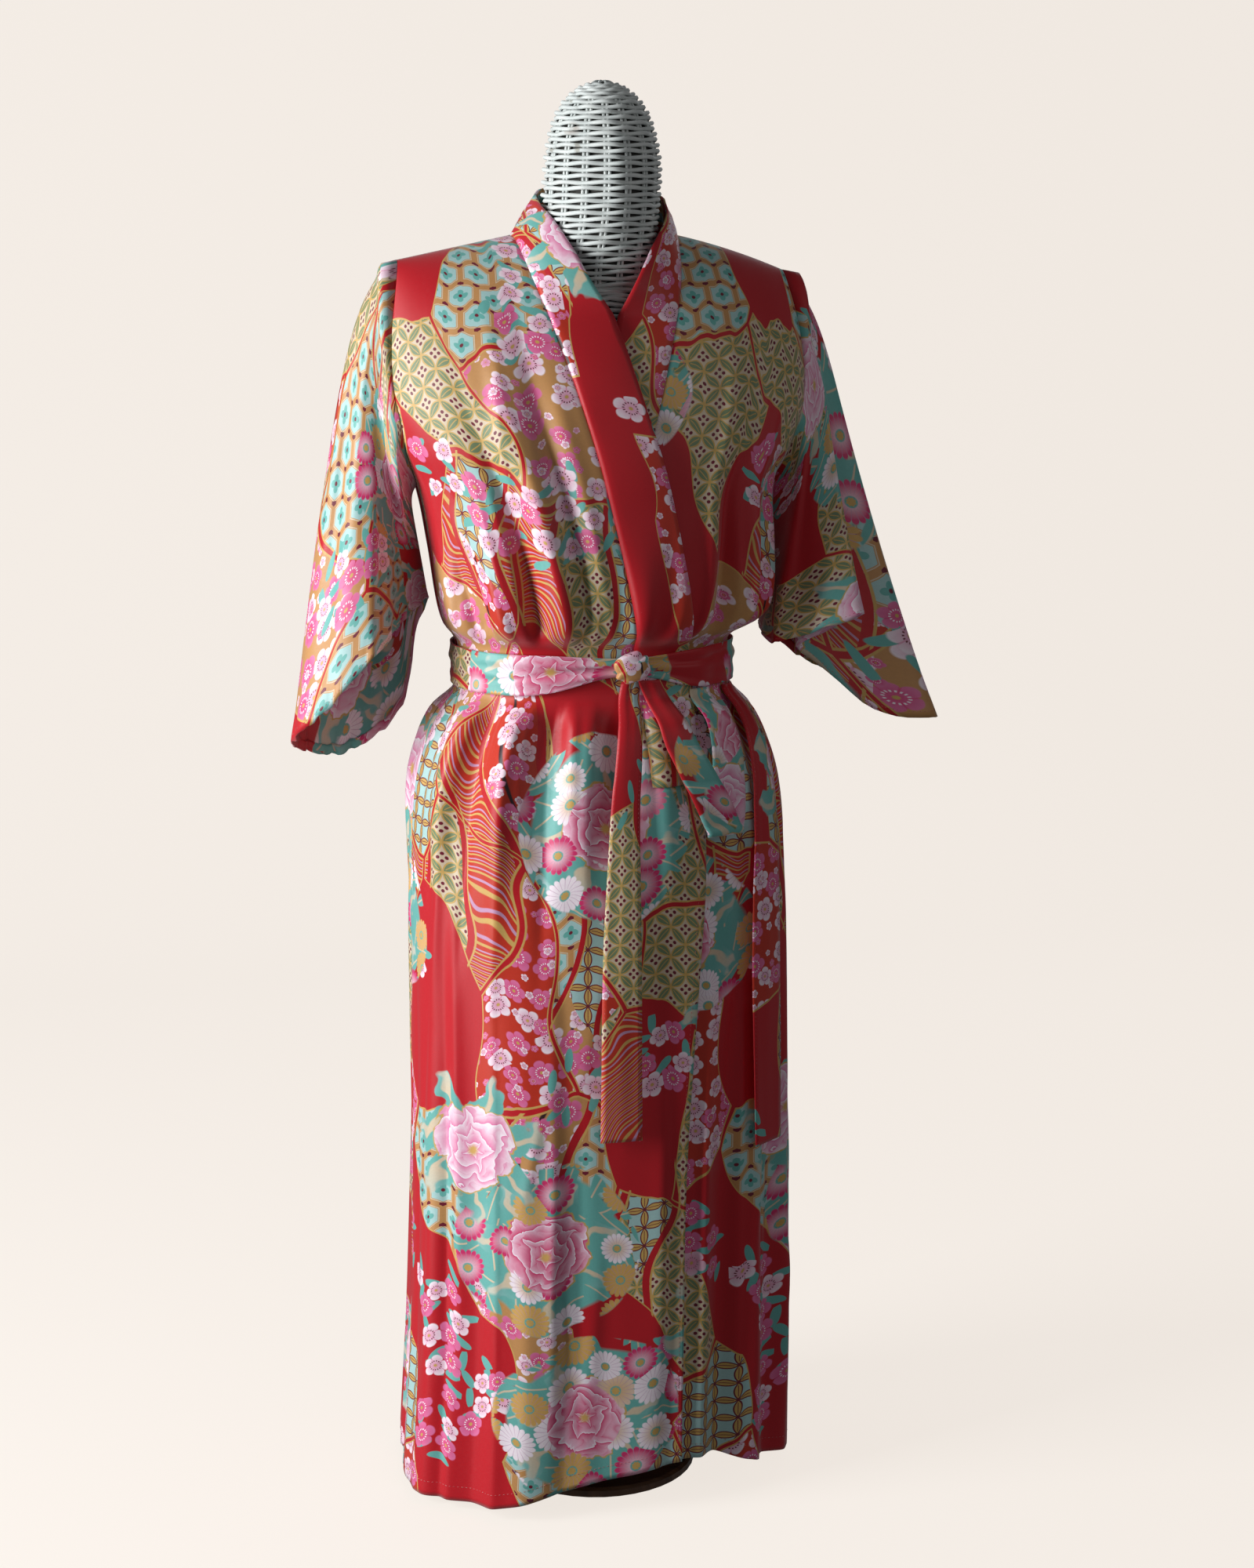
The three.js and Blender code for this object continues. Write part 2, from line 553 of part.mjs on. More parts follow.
// The collar as stations from the end on the right front, round the neck, to the end on the left front.
function collarGrid() {
  const seamColumn = { right: frontColumns, left: frontBandColumns };
  const rows = { right: [], left: [] };
  for (const name of ["right", "left"])
    bodyRows.forEach((level, r) => {
      const grid = fronts[name][r];
      if (level >= bandEnd) rows[name].push({ level, grid, seam: grid[seamColumn[name]] });
    });
  const neckRow = back[back.length - 1].slice(backShoulderColumns + 1, backShoulderColumns + backNeckColumns);
  const neck = neckRow.reverse().map((seam) => ({ level: neckPointHeight, seam }));
  const stations = [...rows.right, ...neck, ...rows.left.reverse()];
  const flat = (s) => s.grid && s.level <= standHeight;
  const firstStanding = stations.findIndex((s) => !flat(s)) - 1;
  const lastStanding = stations.length - 1 - [...stations].reverse().findIndex((s) => !flat(s)) + 1;
  const edgeOf = (s, name) => (name === "right" ? s.grid[s.grid.length - 1] : s.grid[0]);
  const neckSide = (side) =>
    neckEdge.map(({ out, y, z }) => new THREE.Vector3(side * out + headShift * ease(1284, 1362, z), y, z));
  const curve = new THREE.CatmullRomCurve3([
    edgeOf(stations[firstStanding], "right"),
    ...neckSide(-1),
    ...neckSide(1).slice(0, -1).reverse(),
    edgeOf(stations[lastStanding], "left"),
  ]);
  const reach = [0];
  for (let i = firstStanding; i < lastStanding; i++)
    reach.push(reach[reach.length - 1] + stations[i].seam.distanceTo(stations[i + 1].seam));
  return stations.map((s, i) => {
    if (i <= firstStanding) return s.grid.slice(frontColumns);
    if (i >= lastStanding) return s.grid.slice(0, frontBandColumns + 1).reverse();
    const free = curve.getPointAt(reach[i - firstStanding] / reach[reach.length - 1]);
    const span = free.clone().sub(s.seam);
    const ahead = stations[i + 1].seam.clone().sub(stations[i - 1].seam);
    const out = ahead.cross(span).normalize();
    if (out.dot(new THREE.Vector3(s.seam.x, s.seam.y - 20, 40)) < 0) out.negate();
    return Array.from({ length: frontBandColumns + 1 }, (_, c) => {
      const share = c / frontBandColumns;
      const roll = collarRoll * 4 * share * (1 - share);
      return s.seam.clone().addScaledVector(span, share).addScaledVector(out, roll);
    });
  });
}
const collarSheet = gridSheet(collarGrid());

// ---- sleeves

// A point at a share of the way round a closed loop of key points, on a smooth curve.
function roundLoop(keys, at) {
  const count = keys.length;
  let i = count - 1;
  while (keys[i].at > at) i--;
  const here = keys[i];
  const next = keys[(i + 1) % count];
  const before = keys[(i - 1 + count) % count];
  const after = keys[(i + 2) % count];
  const gap = (a, b) => (b.at - a.at + 1) % 1 || 1;
  const span = gap(here, next);
  const share = (at - here.at) / span;
  const enter = next.point.clone().sub(before.point).multiplyScalar(span / (span + gap(before, here)));
  const leave = after.point.clone().sub(here.point).multiplyScalar(span / (span + gap(next, after)));
  const square = share * share;
  const cube = square * share;
  return here.point
    .clone()
    .multiplyScalar(2 * cube - 3 * square + 1)
    .addScaledVector(enter, cube - 2 * square + share)
    .addScaledVector(next.point, 3 * square - 2 * cube)
    .addScaledVector(leave, cube - square);
}

// The armhole from the underarm up the front's edge, over the shoulder and down the back's edge. The
// sleeve's edge laps over it.
function armholeOf(side, sums) {
  const front = side < 0 ? fronts.right.map((row) => row[0]) : fronts.left.map((row) => row[row.length - 1]);
  const rear = back.map((row) => (side < 0 ? row[row.length - 1] : row[0]));
  const first = lowerRows.length - 1;
  const loop = [...front.slice(first), ...rear.slice(first + 1, -1).reverse()];
  return loop.map((point, i) => {
    const normal = seamNormal(point, sums);
    const ahead = loop[(i + 1) % loop.length].clone().sub(loop[(i - 1 + loop.length) % loop.length]);
    const open = ahead.cross(normal).normalize().multiplyScalar(side);
    const start = point.clone().addScaledVector(normal, clothWall + seamGap);
    return start.addScaledVector(open, clothWall / 2 + seamGap);
  });
}

// Moves a point of a sleeve out until it is clear of the body of the robe beside it.
function clearOfBody(point, edge) {
  const level = Math.min(point.z, neckPointHeight);
  const narrowing = (1 - riseOf(level) ** shoulderRoundness) ** (1 / shoulderRoundness);
  const x = point.x - read(bodyLevels, "shift", level);
  const deep = read(bodyLevels, point.y < 0 ? "fore" : "back", level) * Math.max(narrowing, 0.1);
  const wide = read(bodyLevels, "wide", level);
  const sideways = x / wide;
  const forward = -point.y / deep;
  const sum = Math.abs(sideways) ** bodySquareness + Math.abs(forward) ** bodySquareness;
  const half = bodySquareness / 2;
  const turn = THREE.MathUtils.radToDeg(Math.atan2(power(sideways, half), power(forward, half)));
  const fall = ease(0, sleeveRamp, edge.z - point.z);
  const room = lerp(clothWall + seamGap, sleeveRoom, fall) + Math.max(0, foldOut(turn, level));
  const scale = Math.max(1, (1 + room / wide) / sum ** (1 / bodySquareness));
  return point.set(point.x + x * (scale - 1), point.y * scale, point.z);
}

function sleeveSheet(side, { outPower, forePower, swell, lines }, sums) {
  const armhole = armholeOf(side, sums);
  const cuff = lines.map(({ at, out, y, z }) => ({ at, point: new THREE.Vector3(side * out, y, z) }));
  const grid = sleeveRows.map((down) =>
    armhole.map((start, i) => {
      const end = roundLoop(cuff, i / armhole.length);
      const outward = side * (end.x - start.x) > 0;
      const spring = lerp(underarmSwell, swell, Math.sin((Math.PI * i) / armhole.length) ** 2);
      const sprung = spring * (1 - (1 - down) ** 12) * (1 - down) ** 2;
      const x = lerp(start.x, end.x, down ** (outward ? outPower : inPower)) + side * sprung;
      const y = lerp(start.y, end.y, down ** forePower);
      const point = new THREE.Vector3(x, y, lerp(start.z, end.z, down));
      return down > 0 ? clearOfBody(point, start) : point;
    }),
  );
  return gridSheet(side < 0 ? grid : grid.map((row) => [...row].reverse()), { closed: true });
}
const panelSums = sharedNormals([frontSheets.right, frontSheets.left, backSheet, collarSheet]);
const sleeves = {
  right: sleeveSheet(-1, sleeveRight, panelSums),
  left: sleeveSheet(1, sleeveLeft, panelSums),
};

// ---- sash

// Where the cloth under the sash is highest: the upper front while it lasts, then the lower one.
function wrapLift(turn) {
  return layerLift * (turn < 0 ? 1 - ease(32, 62, -turn) : 1 - ease(33, 47, turn));
}

// The belt: a closed ring, narrowed where it runs into the knot.
function beltSheet() {
  const grid = [];
  for (const edge of [-1, 1]) {
    const row = [];
    for (let c = 0; c < beltColumns; c++) {
      const turn = (360 * c) / beltColumns - 180;
      const nearKnot = Math.exp(-(((turn - 3) / 20) ** 2));
      const half = (sashWidth / 2) * (1 - knotGather * nearKnot);
      const lift = wrapLift(turn) + (clothWall + bandWall) / 2 + sashGap;
      const point = bodyPoint(turn, beltHeight, lift, bodyLevels, false);
      point.z = beltHeight + 7 * nearKnot + edge * half;
      row.push(point);
    }
    grid.push(row);
  }
  return gridSheet(grid, { closed: true });
}

// A rounded block that closes the sash in front of the belt.
function knotGeometry() {
  const turn = turnAt(knot.x, beltHeight);
  const lift = wrapLift(turn) + clothWall / 2 + bandWall + sashGap;
  const face = bodyPoint(turn, beltHeight, lift, bodyLevels, false);
  const geometry = new THREE.SphereGeometry(1, 16, 10);
  geometry.scale(knot.wide / 2, knot.deep / 2, knot.tall / 2);
  return geometry.translate(knot.x, face.y - knot.deep / 2 - seamGap, knot.z);
}

// Points of a hanging band at one height: five across, on the cloth beneath it and moved out.
function hangingRow(table, z, standOff, column = "turn") {
  const turn = read(table, column, z);
  const half = read(table, "wide", z) / 2;
  const outermost = Math.max(...[-8, 0, 8].map((d) => wrapLift(turn + d)));
  const centre = bodyPoint(turn, z, outermost + standOff, bodyLevels, false);
  const ahead = bodyPoint(turn + 1, z, outermost + standOff, bodyLevels, false);
  const across = ahead.sub(centre).setZ(0).normalize();
  const out = new THREE.Vector3(across.y, -across.x, 0);
  return [-1, -0.5, 0, 0.5, 1].map((share) => {
    const bow = tailBow * share * share;
    return centre.clone().addScaledVector(across, share * half).addScaledVector(out, -bow);
  });
}

// How far a hanging band must stand off to clear the folds of the skirt beneath it.
const foldClear = (table, z, column = "turn") => {
  const turn = read(table, column, z);
  const reach = [-12, -8, -4, 0, 4, 8, 12].map((d) => foldOut(turn + d, z));
  return Math.max(0, ...reach);
};

function tailSheet(table, steps) {
  const top = table[0].z;
  const low = table[table.length - 1].z;
  const grid = [];
  let widest = 0;
  for (let i = 0; i <= steps; i++) {
    const z = lerp(top, low, i / steps);
    widest = Math.max(foldClear(table, z), Math.min(widest, 6));
    grid.push(hangingRow(table, z, tailStandOff + widest));
  }
  return gridSheet(grid);
}

// The half bow: the band goes down, turns at the bottom and comes back up behind itself.
function loopSheet(steps) {
  const low = bowLoop[bowLoop.length - 1].z;
  const outer = [];
  const inner = [];
  for (let i = 0; i <= steps; i++) {
    const z = lerp(loopFrontTop, low, i / steps);
    const rearZ = lerp(loopRearTop, low, i / steps);
    const apart = loopGap * ease(0, 0.35, i / steps) + 3.2;
    outer.push(hangingRow(bowLoop, z, tailStandOff + foldClear(bowLoop, z) + apart));
    inner.push(hangingRow(bowLoop, rearZ, tailStandOff + foldClear(bowLoop, rearZ, "rear"), "rear"));
  }
  const bottom = outer[steps].map((p, i) => {
    const middle = p.clone().add(inner[steps][i]).divideScalar(2);
    middle.z -= (loopGap + 3.2) / 2;
    return middle;
  });
  return gridSheet([...outer, bottom, ...inner.reverse()]);
}

// ---- dress form

const wasm = await Module();
wasm.setup();

// A closed skin over rings of points, with a fan of triangles over the first and the last ring.
function skinOf(rings) {
  const points = rings.flat();
  const size = rings[0].length;
  const triangles = [];
  for (let r = 0; r + 1 < rings.length; r++)
    for (let c = 0; c < size; c++) {
      const a = r * size + c;
      const b = r * size + ((c + 1) % size);
      triangles.push(a, b, b + size, a, b + size, a + size);
    }
  for (const [r, flip] of [[0, true], [rings.length - 1, false]]) {
    const centre = rings[r].reduce((sum, p) => sum.add(p), new THREE.Vector3()).divideScalar(size);
    const middle = points.push(centre) - 1;
    for (let c = 0; c < size; c++) {
      const a = r * size + c;
      const b = r * size + ((c + 1) % size);
      triangles.push(...(flip ? [b, a, middle] : [a, b, middle]));
    }
  }
  const geometry = new THREE.BufferGeometry();
  geometry.setAttribute("position", new THREE.Float32BufferAttribute(points.flatMap((p) => p.toArray()), 3));
  geometry.setIndex(triangles);
  return geometry;
}

function solidFrom(geometry) {
  const merged = mergeVertices(geometry, 1e-3);
  const corners = Array.from(merged.index.array);
  const triVerts = [];
  for (let i = 0; i < corners.length; i += 3) {
    const face = corners.slice(i, i + 3);
    if (new Set(face).size === 3) triVerts.push(...face);
  }
  const vertProperties = merged.attributes.position.array;
  return new wasm.Manifold(new wasm.Mesh({ numProp: 3, vertProperties, triVerts: new Uint32Array(triVerts) }));
}

function geometryFrom(solid) {
  const mesh = solid.getMesh();
  const geometry = new THREE.BufferGeometry();
  geometry.setAttribute("position", new THREE.BufferAttribute(new Float32Array(mesh.vertProperties), 3));
  geometry.setIndex(new THREE.BufferAttribute(new Uint32Array(mesh.triVerts), 1));
  return geometry;
}

function torsoRings() {
  const riseSteps = [0.18, 0.36, 0.52, 0.66, 0.78, 0.87, 0.94, 0.985];
  const levels = [...formLevels.map((row) => row.z).filter((z) => z <= underarmHeight)];
  for (const rise of riseSteps) levels.push(lerp(underarmHeight, neckPointHeight, rise));
  return levels.map((level) =>
    Array.from({ length: formColumns }, (_, c) => {
      const turn = (360 * c) / formColumns;
      const point = bodyPoint(turn, level, 0, formLevels, false);
      const rise = riseOf(level);
      point.z -= rise * (formShoulderClear + formNeckDip * (1 - ease(86, 112, Math.abs(point.x))));
      return point;
    }),
  );
}

function headRings() {
  return headLevels.map(({ z, wide, fore, back: rear }) =>
    Array.from({ length: headColumns }, (_, c) => {
      const turn = (360 * c) / headColumns;
      const angle = degToRad(turn);
      const fromFront = Math.min(turn, 360 - turn);
      const climb = Math.max(0, Math.min(1, (z - noseRidge.low) / (noseRidge.top - noseRidge.low)));
      const middle = Math.sin(Math.PI * climb);
      const ridge = noseRidge.out * middle * Math.exp(-((fromFront / noseRidge.half) ** 2));
      const depth = Math.cos(angle) > 0 ? fore : rear;
      const lean = headShift * ease(1270, 1410, z);
      return new THREE.Vector3(lean + wide * Math.sin(angle), -(depth * Math.cos(angle)) - ridge, z);
    }),
  );
}

function postGeometry() {
  const low = base.thickness + seamGap;
  const top = formLevels[0].z - seamGap;
  const geometry = new THREE.CylinderGeometry(post.radius, post.radius, top - low, post.sides);
  return geometry.rotateX(Math.PI / 2).translate(0, 0, (top + low) / 2);
}

function baseGeometry() {
  const { radius, thickness, chamfer, sides } = base;
  const profile = [
    [0, 0],
    [radius, 0],
    [radius, thickness - chamfer],
    [radius - chamfer, thickness],
    [0, thickness],
  ].map(([r, z]) => new THREE.Vector2(r, z));
  return new THREE.LatheGeometry(profile, sides).rotateX(Math.PI / 2);
}

// ---- the whole

const finish = {
  cotton: { color: 0xb3161d, roughness: 0.62, metalness: 0 },
  wicker: { color: 0xbcc3c0, roughness: 0.55, metalness: 0 },
  painted: { color: 0xc9cbc6, roughness: 0.45, metalness: 0 },
};

function node(name, geometry, material) {
  const mesh = new THREE.Mesh(geometry, new THREE.MeshStandardMaterial(finish[material]));
  mesh.name = name;
  return mesh;
}

const cloth = new THREE.Group();
cloth.add(node("front_right", wallOf(frontSheets.right, clothWall, panelSums), "cotton"));
cloth.add(node("front_left", wallOf(frontSheets.left, clothWall, panelSums), "cotton"));
cloth.add(node("back", wallOf(backSheet, clothWall, panelSums), "cotton"));
cloth.add(node("collar_band", wallOf(collarSheet, bandWall, panelSums, seamGap), "cotton"));
cloth.add(node("sleeve_right", wallOf(sleeves.right, clothWall), "cotton"));
cloth.add(node("sleeve_left", wallOf(sleeves.left, clothWall), "cotton"));

const sash = new THREE.Group();
sash.add(node("sash_belt", wallOf(beltSheet(), bandWall), "cotton"));
sash.add(node("sash_knot", knotGeometry(), "cotton"));
sash.add(node("sash_tail_centre", wallOf(tailSheet(tailCentre, 16), bandWall), "cotton"));
sash.add(node("sash_tail_side", wallOf(tailSheet(tailSide, 16), bandWall), "cotton"));
sash.add(node("sash_loop", wallOf(loopSheet(6), clothWall), "cotton"));

const form = new THREE.Group();
const torso = solidFrom(skinOf(torsoRings()));
const head = solidFrom(skinOf(headRings()));
form.add(node("form_body", geometryFrom(torso.add(head)), "wicker"));
form.add(node("form_post", postGeometry(), "painted"));
form.add(node("form_base", baseGeometry(), "painted"));

const robeOnForm = new THREE.Group();
robeOnForm.add(cloth, sash, form);

export default robeOnForm;
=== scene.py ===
import math

import bpy
import numpy as np
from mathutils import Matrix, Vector


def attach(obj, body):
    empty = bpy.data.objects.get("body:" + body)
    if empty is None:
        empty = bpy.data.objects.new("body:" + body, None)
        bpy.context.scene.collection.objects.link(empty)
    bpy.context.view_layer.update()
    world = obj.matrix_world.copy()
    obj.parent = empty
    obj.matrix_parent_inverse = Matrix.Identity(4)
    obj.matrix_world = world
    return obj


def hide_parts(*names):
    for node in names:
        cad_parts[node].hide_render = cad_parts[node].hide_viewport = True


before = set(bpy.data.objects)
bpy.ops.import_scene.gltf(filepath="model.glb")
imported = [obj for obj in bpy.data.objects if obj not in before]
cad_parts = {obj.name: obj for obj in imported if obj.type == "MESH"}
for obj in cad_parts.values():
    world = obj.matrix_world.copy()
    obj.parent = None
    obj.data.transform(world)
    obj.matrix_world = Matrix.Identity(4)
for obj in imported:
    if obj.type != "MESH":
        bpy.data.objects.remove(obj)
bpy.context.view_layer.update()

scene = bpy.context.scene
mm = 0.001
print("loaded", len(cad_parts), "solids")


def columns(names, rows):
    return {name: np.array([row[i] for row in rows], float) for i, name in enumerate(names.split())}


def smooth(low, high, at):
    t = np.clip((np.asarray(at, float) - low) / (high - low), 0, 1)
    return t * t * (3 - 2 * t)


def mix(a, b, t):
    return a + (b - a) * t


def signedPower(value, exponent):
    return np.sign(value) * np.abs(value) ** exponent


def curved(start, end, enter, leave, t):
    # a smooth way between two values, with its slope at either end
    return (start * (2 * t**3 - 3 * t**2 + 1) + enter * (t**3 - 2 * t**2 + t)
            + end * (3 * t**2 - 2 * t**3) + leave * (t**3 - t**2))


def read(table, column, at, key="z"):
    # a smooth curve through a table's rows
    order = np.argsort(table[key], kind="stable")
    x, y = table[key][order], table[column][order]
    at = np.clip(np.asarray(at, float), x[0], x[-1])
    i = np.clip(np.searchsorted(x, at, side="left") - 1, 0, len(x) - 2)
    step = x[i + 1] - x[i]
    lower, upper = np.maximum(i - 1, 0), np.minimum(i + 2, len(x) - 1)
    enter = (y[i + 1] - y[lower]) / (x[i + 1] - x[lower])
    leave = (y[upper] - y[i]) / (x[upper] - x[i])
    return curved(y[i], y[i + 1], enter * step, leave * step, (at - x[i]) / step)


def wrapped(turn):
    # degrees brought to between -180 and 180
    return (np.asarray(turn, float) + 180) % 360 - 180


def lengthAlong(points):
    return np.concatenate([[0], np.cumsum(np.linalg.norm(np.diff(points, axis=0), axis=1))])


def lengthOfLine(points):
    return np.linalg.norm(np.diff(points, axis=0), axis=1).sum()


def closedRound(grid):
    return np.concatenate([grid, grid[:, :1]], 1)


def flatCut(across, along):
    return np.stack(np.broadcast_arrays(across, along), -1)


def unit(vectors):
    return vectors / np.maximum(np.linalg.norm(vectors, axis=-1, keepdims=True), 1e-9)


def gridNormals(grid, closed=False):
    # rows run along axis 0 and columns along axis 1, and the normal is column direction x row direction
    if closed:
        ahead = np.roll(grid, -1, 1) - np.roll(grid, 1, 1)
    else:
        ahead = np.gradient(grid, axis=1)
    return unit(np.cross(ahead, np.gradient(grid, axis=0)))


# the robe's own sizes, in millimetres and degrees
robe = {
    "hem": 15, "bandEnd": 785, "belt": 896, "underarm": 1080, "neckPoint": 1329, "neckHalf": 84,
    "shoulderTip": 202, "shoulderSlope": 0.207, "leftDrop": 12, "shoulderY": 6, "backNeckDrop": 0.13,
    "armholeTurn": 72, "squareness": 2.3, "roundness": 1.9, "layerLift": 5.5, "pinchFrom": 25, "pinchTo": 52,
    "cloth": 0.9, "band": 1.7, "gap": 0.3, "hemTurn": 14, "hemTuck": 1.9, "seamDip": 0.9, "seamHalf": 2.6,
    "tightness": 1.6,
    "foldGain": 1.35, "creaseGain": 1.8, "smallGain": 1.6, "layerFade": (32, 60), "layerTop": (1246, 1310),
    "hemWaveTall": 300, "armholeOpens": 0.35, "bodicePower": 1.5, "bodiceTall": 330, "hipLevel": 690.0,
}
bodyLevels = columns("z wide fore back shift", [
    (15, 211, 150, 150, -8), (170, 205, 148, 148, -3), (370, 202, 146, 146, 0), (570, 202, 145, 146, 2),
    (690, 198, 143, 143, 1), (770, 190, 139, 136, -2), (820, 175, 129, 123, -3), (850, 160, 118, 107, -3),
    (871, 144, 105, 93, -3), (896, 144, 105, 93, -3), (921, 144, 105, 93, -3), (936, 161, 121, 105, 3),
    (960, 171, 129, 110, 6), (1020, 178, 130, 108, 4), (1080, 186, 128, 104, 0), (1125, 206, 128, 102, 0),
    (1180, 222, 128, 101, 0), (1250, 223, 127, 100, 0), (1329, 211, 126, 100, 0)])
formLevels = columns("z wide fore back", [
    (622, 138, 96, 100), (638, 154, 110, 114), (690, 162, 117, 121), (760, 160, 115, 118), (820, 143, 102, 100),
    (896, 122, 86, 78), (960, 132, 96, 84), (1020, 148, 108, 88), (1080, 160, 112, 88), (1125, 170, 113, 88),
    (1180, 180, 113, 88), (1250, 188, 111, 86), (1329, 194, 108, 84)])
formLevels["shift"] = np.zeros(len(formLevels["z"]))
wrapLine = columns("z seam free", [
    (15, -30, -57), (170, -30, -59), (370, -30, -62), (582, -30, -75), (735, -28, -85), (820, -22, -80),
    (896, -17, -74), (955, -10, -70), (1083, 18, -46), (1172, 43, -19), (1246, 65, 5), (1287, 76, 22),
    (1329, 84, 40)])
neckEdge = columns("out y z", [
    (22, -88, 1284), (40, -66, 1317), (57, -37, 1344), (66, 0, 1362), (57, 38, 1373), (32, 59, 1377),
    (0, 65, 1378)])
hemWave = columns("turn up", [
    (-180, 0), (-120, 2), (-90, -4), (-60, -4), (-35, 0), (-15, 17), (0, 29), (15, 38), (28, 34), (40, 20),
    (60, 4), (90, -4), (120, 2), (180, 0)])

# large folds: where they start and end round the body, their heights, depth, half width and strongest place
foldNames = "start end top low out half swell"
mainFolds = columns(foldNames, [
    (-27, -15, 1270, 885, 6, 5, 0.7), (-40, -26, 1220, 885, -6, 5, 0.72), (-56, -37, 1140, 885, 8, 6.5, 0.72),
    (-66, -50, 1060, 885, -5, 5, 0.68), (-78, -64, 1050, 885, 6, 6, 0.68), (-8, -5, 1090, 885, -4, 4, 0.72),
    (2, 4, 1070, 885, 4, 4.5, 0.72), (33, 35, 1140, 885, -5, 5, 0.7), (46, 45, 1160, 885, 7, 5, 0.7),
    (60, 56, 1090, 885, -6, 4.5, 0.7), (74, 68, 1110, 885, 7, 6, 0.66), (-14, -13, 905, 670, 6, 3.6, 0.3),
    (-24, -26, 905, 660, -6, 4.5, 0.3), (-36, -41, 905, 650, 6, 4.5, 0.32), (-49, -55, 905, 690, -5, 4.5, 0.3),
    (-62, -68, 905, 670, 7, 5, 0.32), (-77, -82, 905, 700, -5, 4.5, 0.3), (0, -2, 905, 710, -4, 4, 0.32),
    (11, 12, 905, 660, 5, 4.5, 0.34), (42, 44, 905, 670, 6, 4.5, 0.34), (54, 58, 905, 690, -6, 4.5, 0.32),
    (67, 71, 905, 670, 6, 5, 0.34), (-70, -64, 770, -330, 6, 9, 0.62), (-48, -44, 730, -330, -6, 8, 0.62),
    (-29, -25, 710, -330, 5, 8, 0.6), (-6, -4, 670, -330, -4, 8, 0.6), (31, 29, 760, -430, -11, 6, 0.6),
    (43, 42, 770, -430, 9, 6.5, 0.6), (58, 57, 750, -330, -8, 6, 0.6), (75, 74, 760, -330, 7, 8, 0.6),
    (98, 96, 1090, 885, -5, 5, 0.7), (114, 112, 1130, 885, 7, 6.5, 0.7), (132, 134, 1150, 885, -5, 6, 0.7),
    (150, 152, 1160, 885, 7, 7, 0.7), (172, 170, 1150, 885, -5, 7, 0.72), (191, 190, 1170, 885, 6, 7, 0.7),
    (213, 210, 1140, 885, -5, 6.5, 0.7), (232, 230, 1150, 885, 7, 7, 0.7), (252, 250, 1090, 885, -5, 6, 0.7),
    (92, 90, 905, 660, -5, 5, 0.32), (106, 106, 905, 650, 6, 6, 0.34), (124, 122, 905, 660, -5, 6, 0.32),
    (142, 141, 905, 650, 7, 6.5, 0.34), (162, 162, 905, 670, -5, 6.5, 0.32), (181, 181, 905, 650, 6, 6.5, 0.34),
    (200, 201, 905, 670, -5, 6.5, 0.32), (219, 221, 905, 650, 7, 6.5, 0.34), (238, 241, 905, 670, -5, 6, 0.32),
    (256, 258, 905, 660, 6, 6, 0.34), (104, 103, 770, -330, -7, 9, 0.6), (130, 128, 770, -330, 8, 9, 0.6),
    (156, 155, 760, -330, -8, 9, 0.6), (183, 182, 770, -330, 8, 9, 0.6), (208, 209, 760, -330, -7, 9, 0.6),
    (235, 236, 770, -330, 8, 9, 0.6), (260, 261, 750, -330, -6, 8, 0.6)])
# long drapes of the cloth: down the bodice to the waist, out of the sash, and down the skirt
drapes = columns(foldNames, [
    (-15, -3, 1210, 884, 6, 2.8, 0.66), (-24, -9, 1300, 884, -9, 3.2, 0.62),
    (-33, -17, 1300, 884, 8, 3.4, 0.62), (-44, -27, 1255, 884, -8, 3.2, 0.66),
    (-53, -35, 1200, 884, 6, 3.2, 0.66), (-64, -47, 1160, 884, -6, 3.4, 0.7), (30, 24, 1260, 884, 7, 3.4, 0.62),
    (40, 33, 1270, 884, -9, 3.4, 0.62), (52, 44, 1230, 884, 8, 3.6, 0.62), (66, 58, 1180, 884, -7, 3.6, 0.66),
    (12, 10, 1090, 884, -4, 2.4, 0.7), (-20, -24, 903, 560, -8, 3, 0.26), (-33, -40, 903, 540, 8, 3.2, 0.26),
    (-46, -55, 903, 560, -6, 3, 0.28), (-58, -68, 903, 520, 7, 3.4, 0.28), (-9, -11, 903, 600, 5, 2.6, 0.28),
    (8, 9, 903, 600, 6, 2.8, 0.28), (24, 24, 903, 560, -9, 3, 0.28), (38, 42, 903, 540, 8, 3.2, 0.28),
    (50, 54, 903, 560, -7, 3, 0.28), (62, 68, 903, 560, 6, 3.4, 0.28), (-62, -58, 700, -300, -6, 3.8, 0.5),
    (-39, -35, 700, -300, 6, 3.6, 0.5), (-16, -14, 610, -300, -4, 3.4, 0.5), (11, 11, 640, -300, -4, 3.2, 0.5),
    (22, 21, 700, -300, 7, 2.8, 0.48), (51, 50, 700, -300, -8, 3.2, 0.5), (67, 66, 700, -300, 7, 3.4, 0.5),
    (84, 83, 680, -300, -5, 3.6, 0.5), (118, 117, 1180, 884, -6, 3.8, 0.64), (146, 147, 1210, 884, 6, 4, 0.64),
    (180, 181, 1190, 884, -6, 4.2, 0.64), (212, 211, 1210, 884, 6, 4, 0.64),
    (242, 241, 1170, 884, -6, 3.8, 0.64), (112, 115, 903, 560, 7, 3.4, 0.28),
    (140, 138, 903, 560, -7, 3.6, 0.28), (170, 171, 903, 550, 7, 3.6, 0.28),
    (203, 205, 903, 560, -7, 3.6, 0.28), (232, 230, 903, 560, 7, 3.4, 0.28), (117, 116, 690, -300, 6, 4, 0.5),
    (148, 147, 690, -300, -6, 4.2, 0.5), (176, 176, 690, -300, 6, 4.2, 0.5),
    (210, 211, 690, -300, -6, 4.2, 0.5), (241, 242, 690, -300, 6, 4, 0.5)])
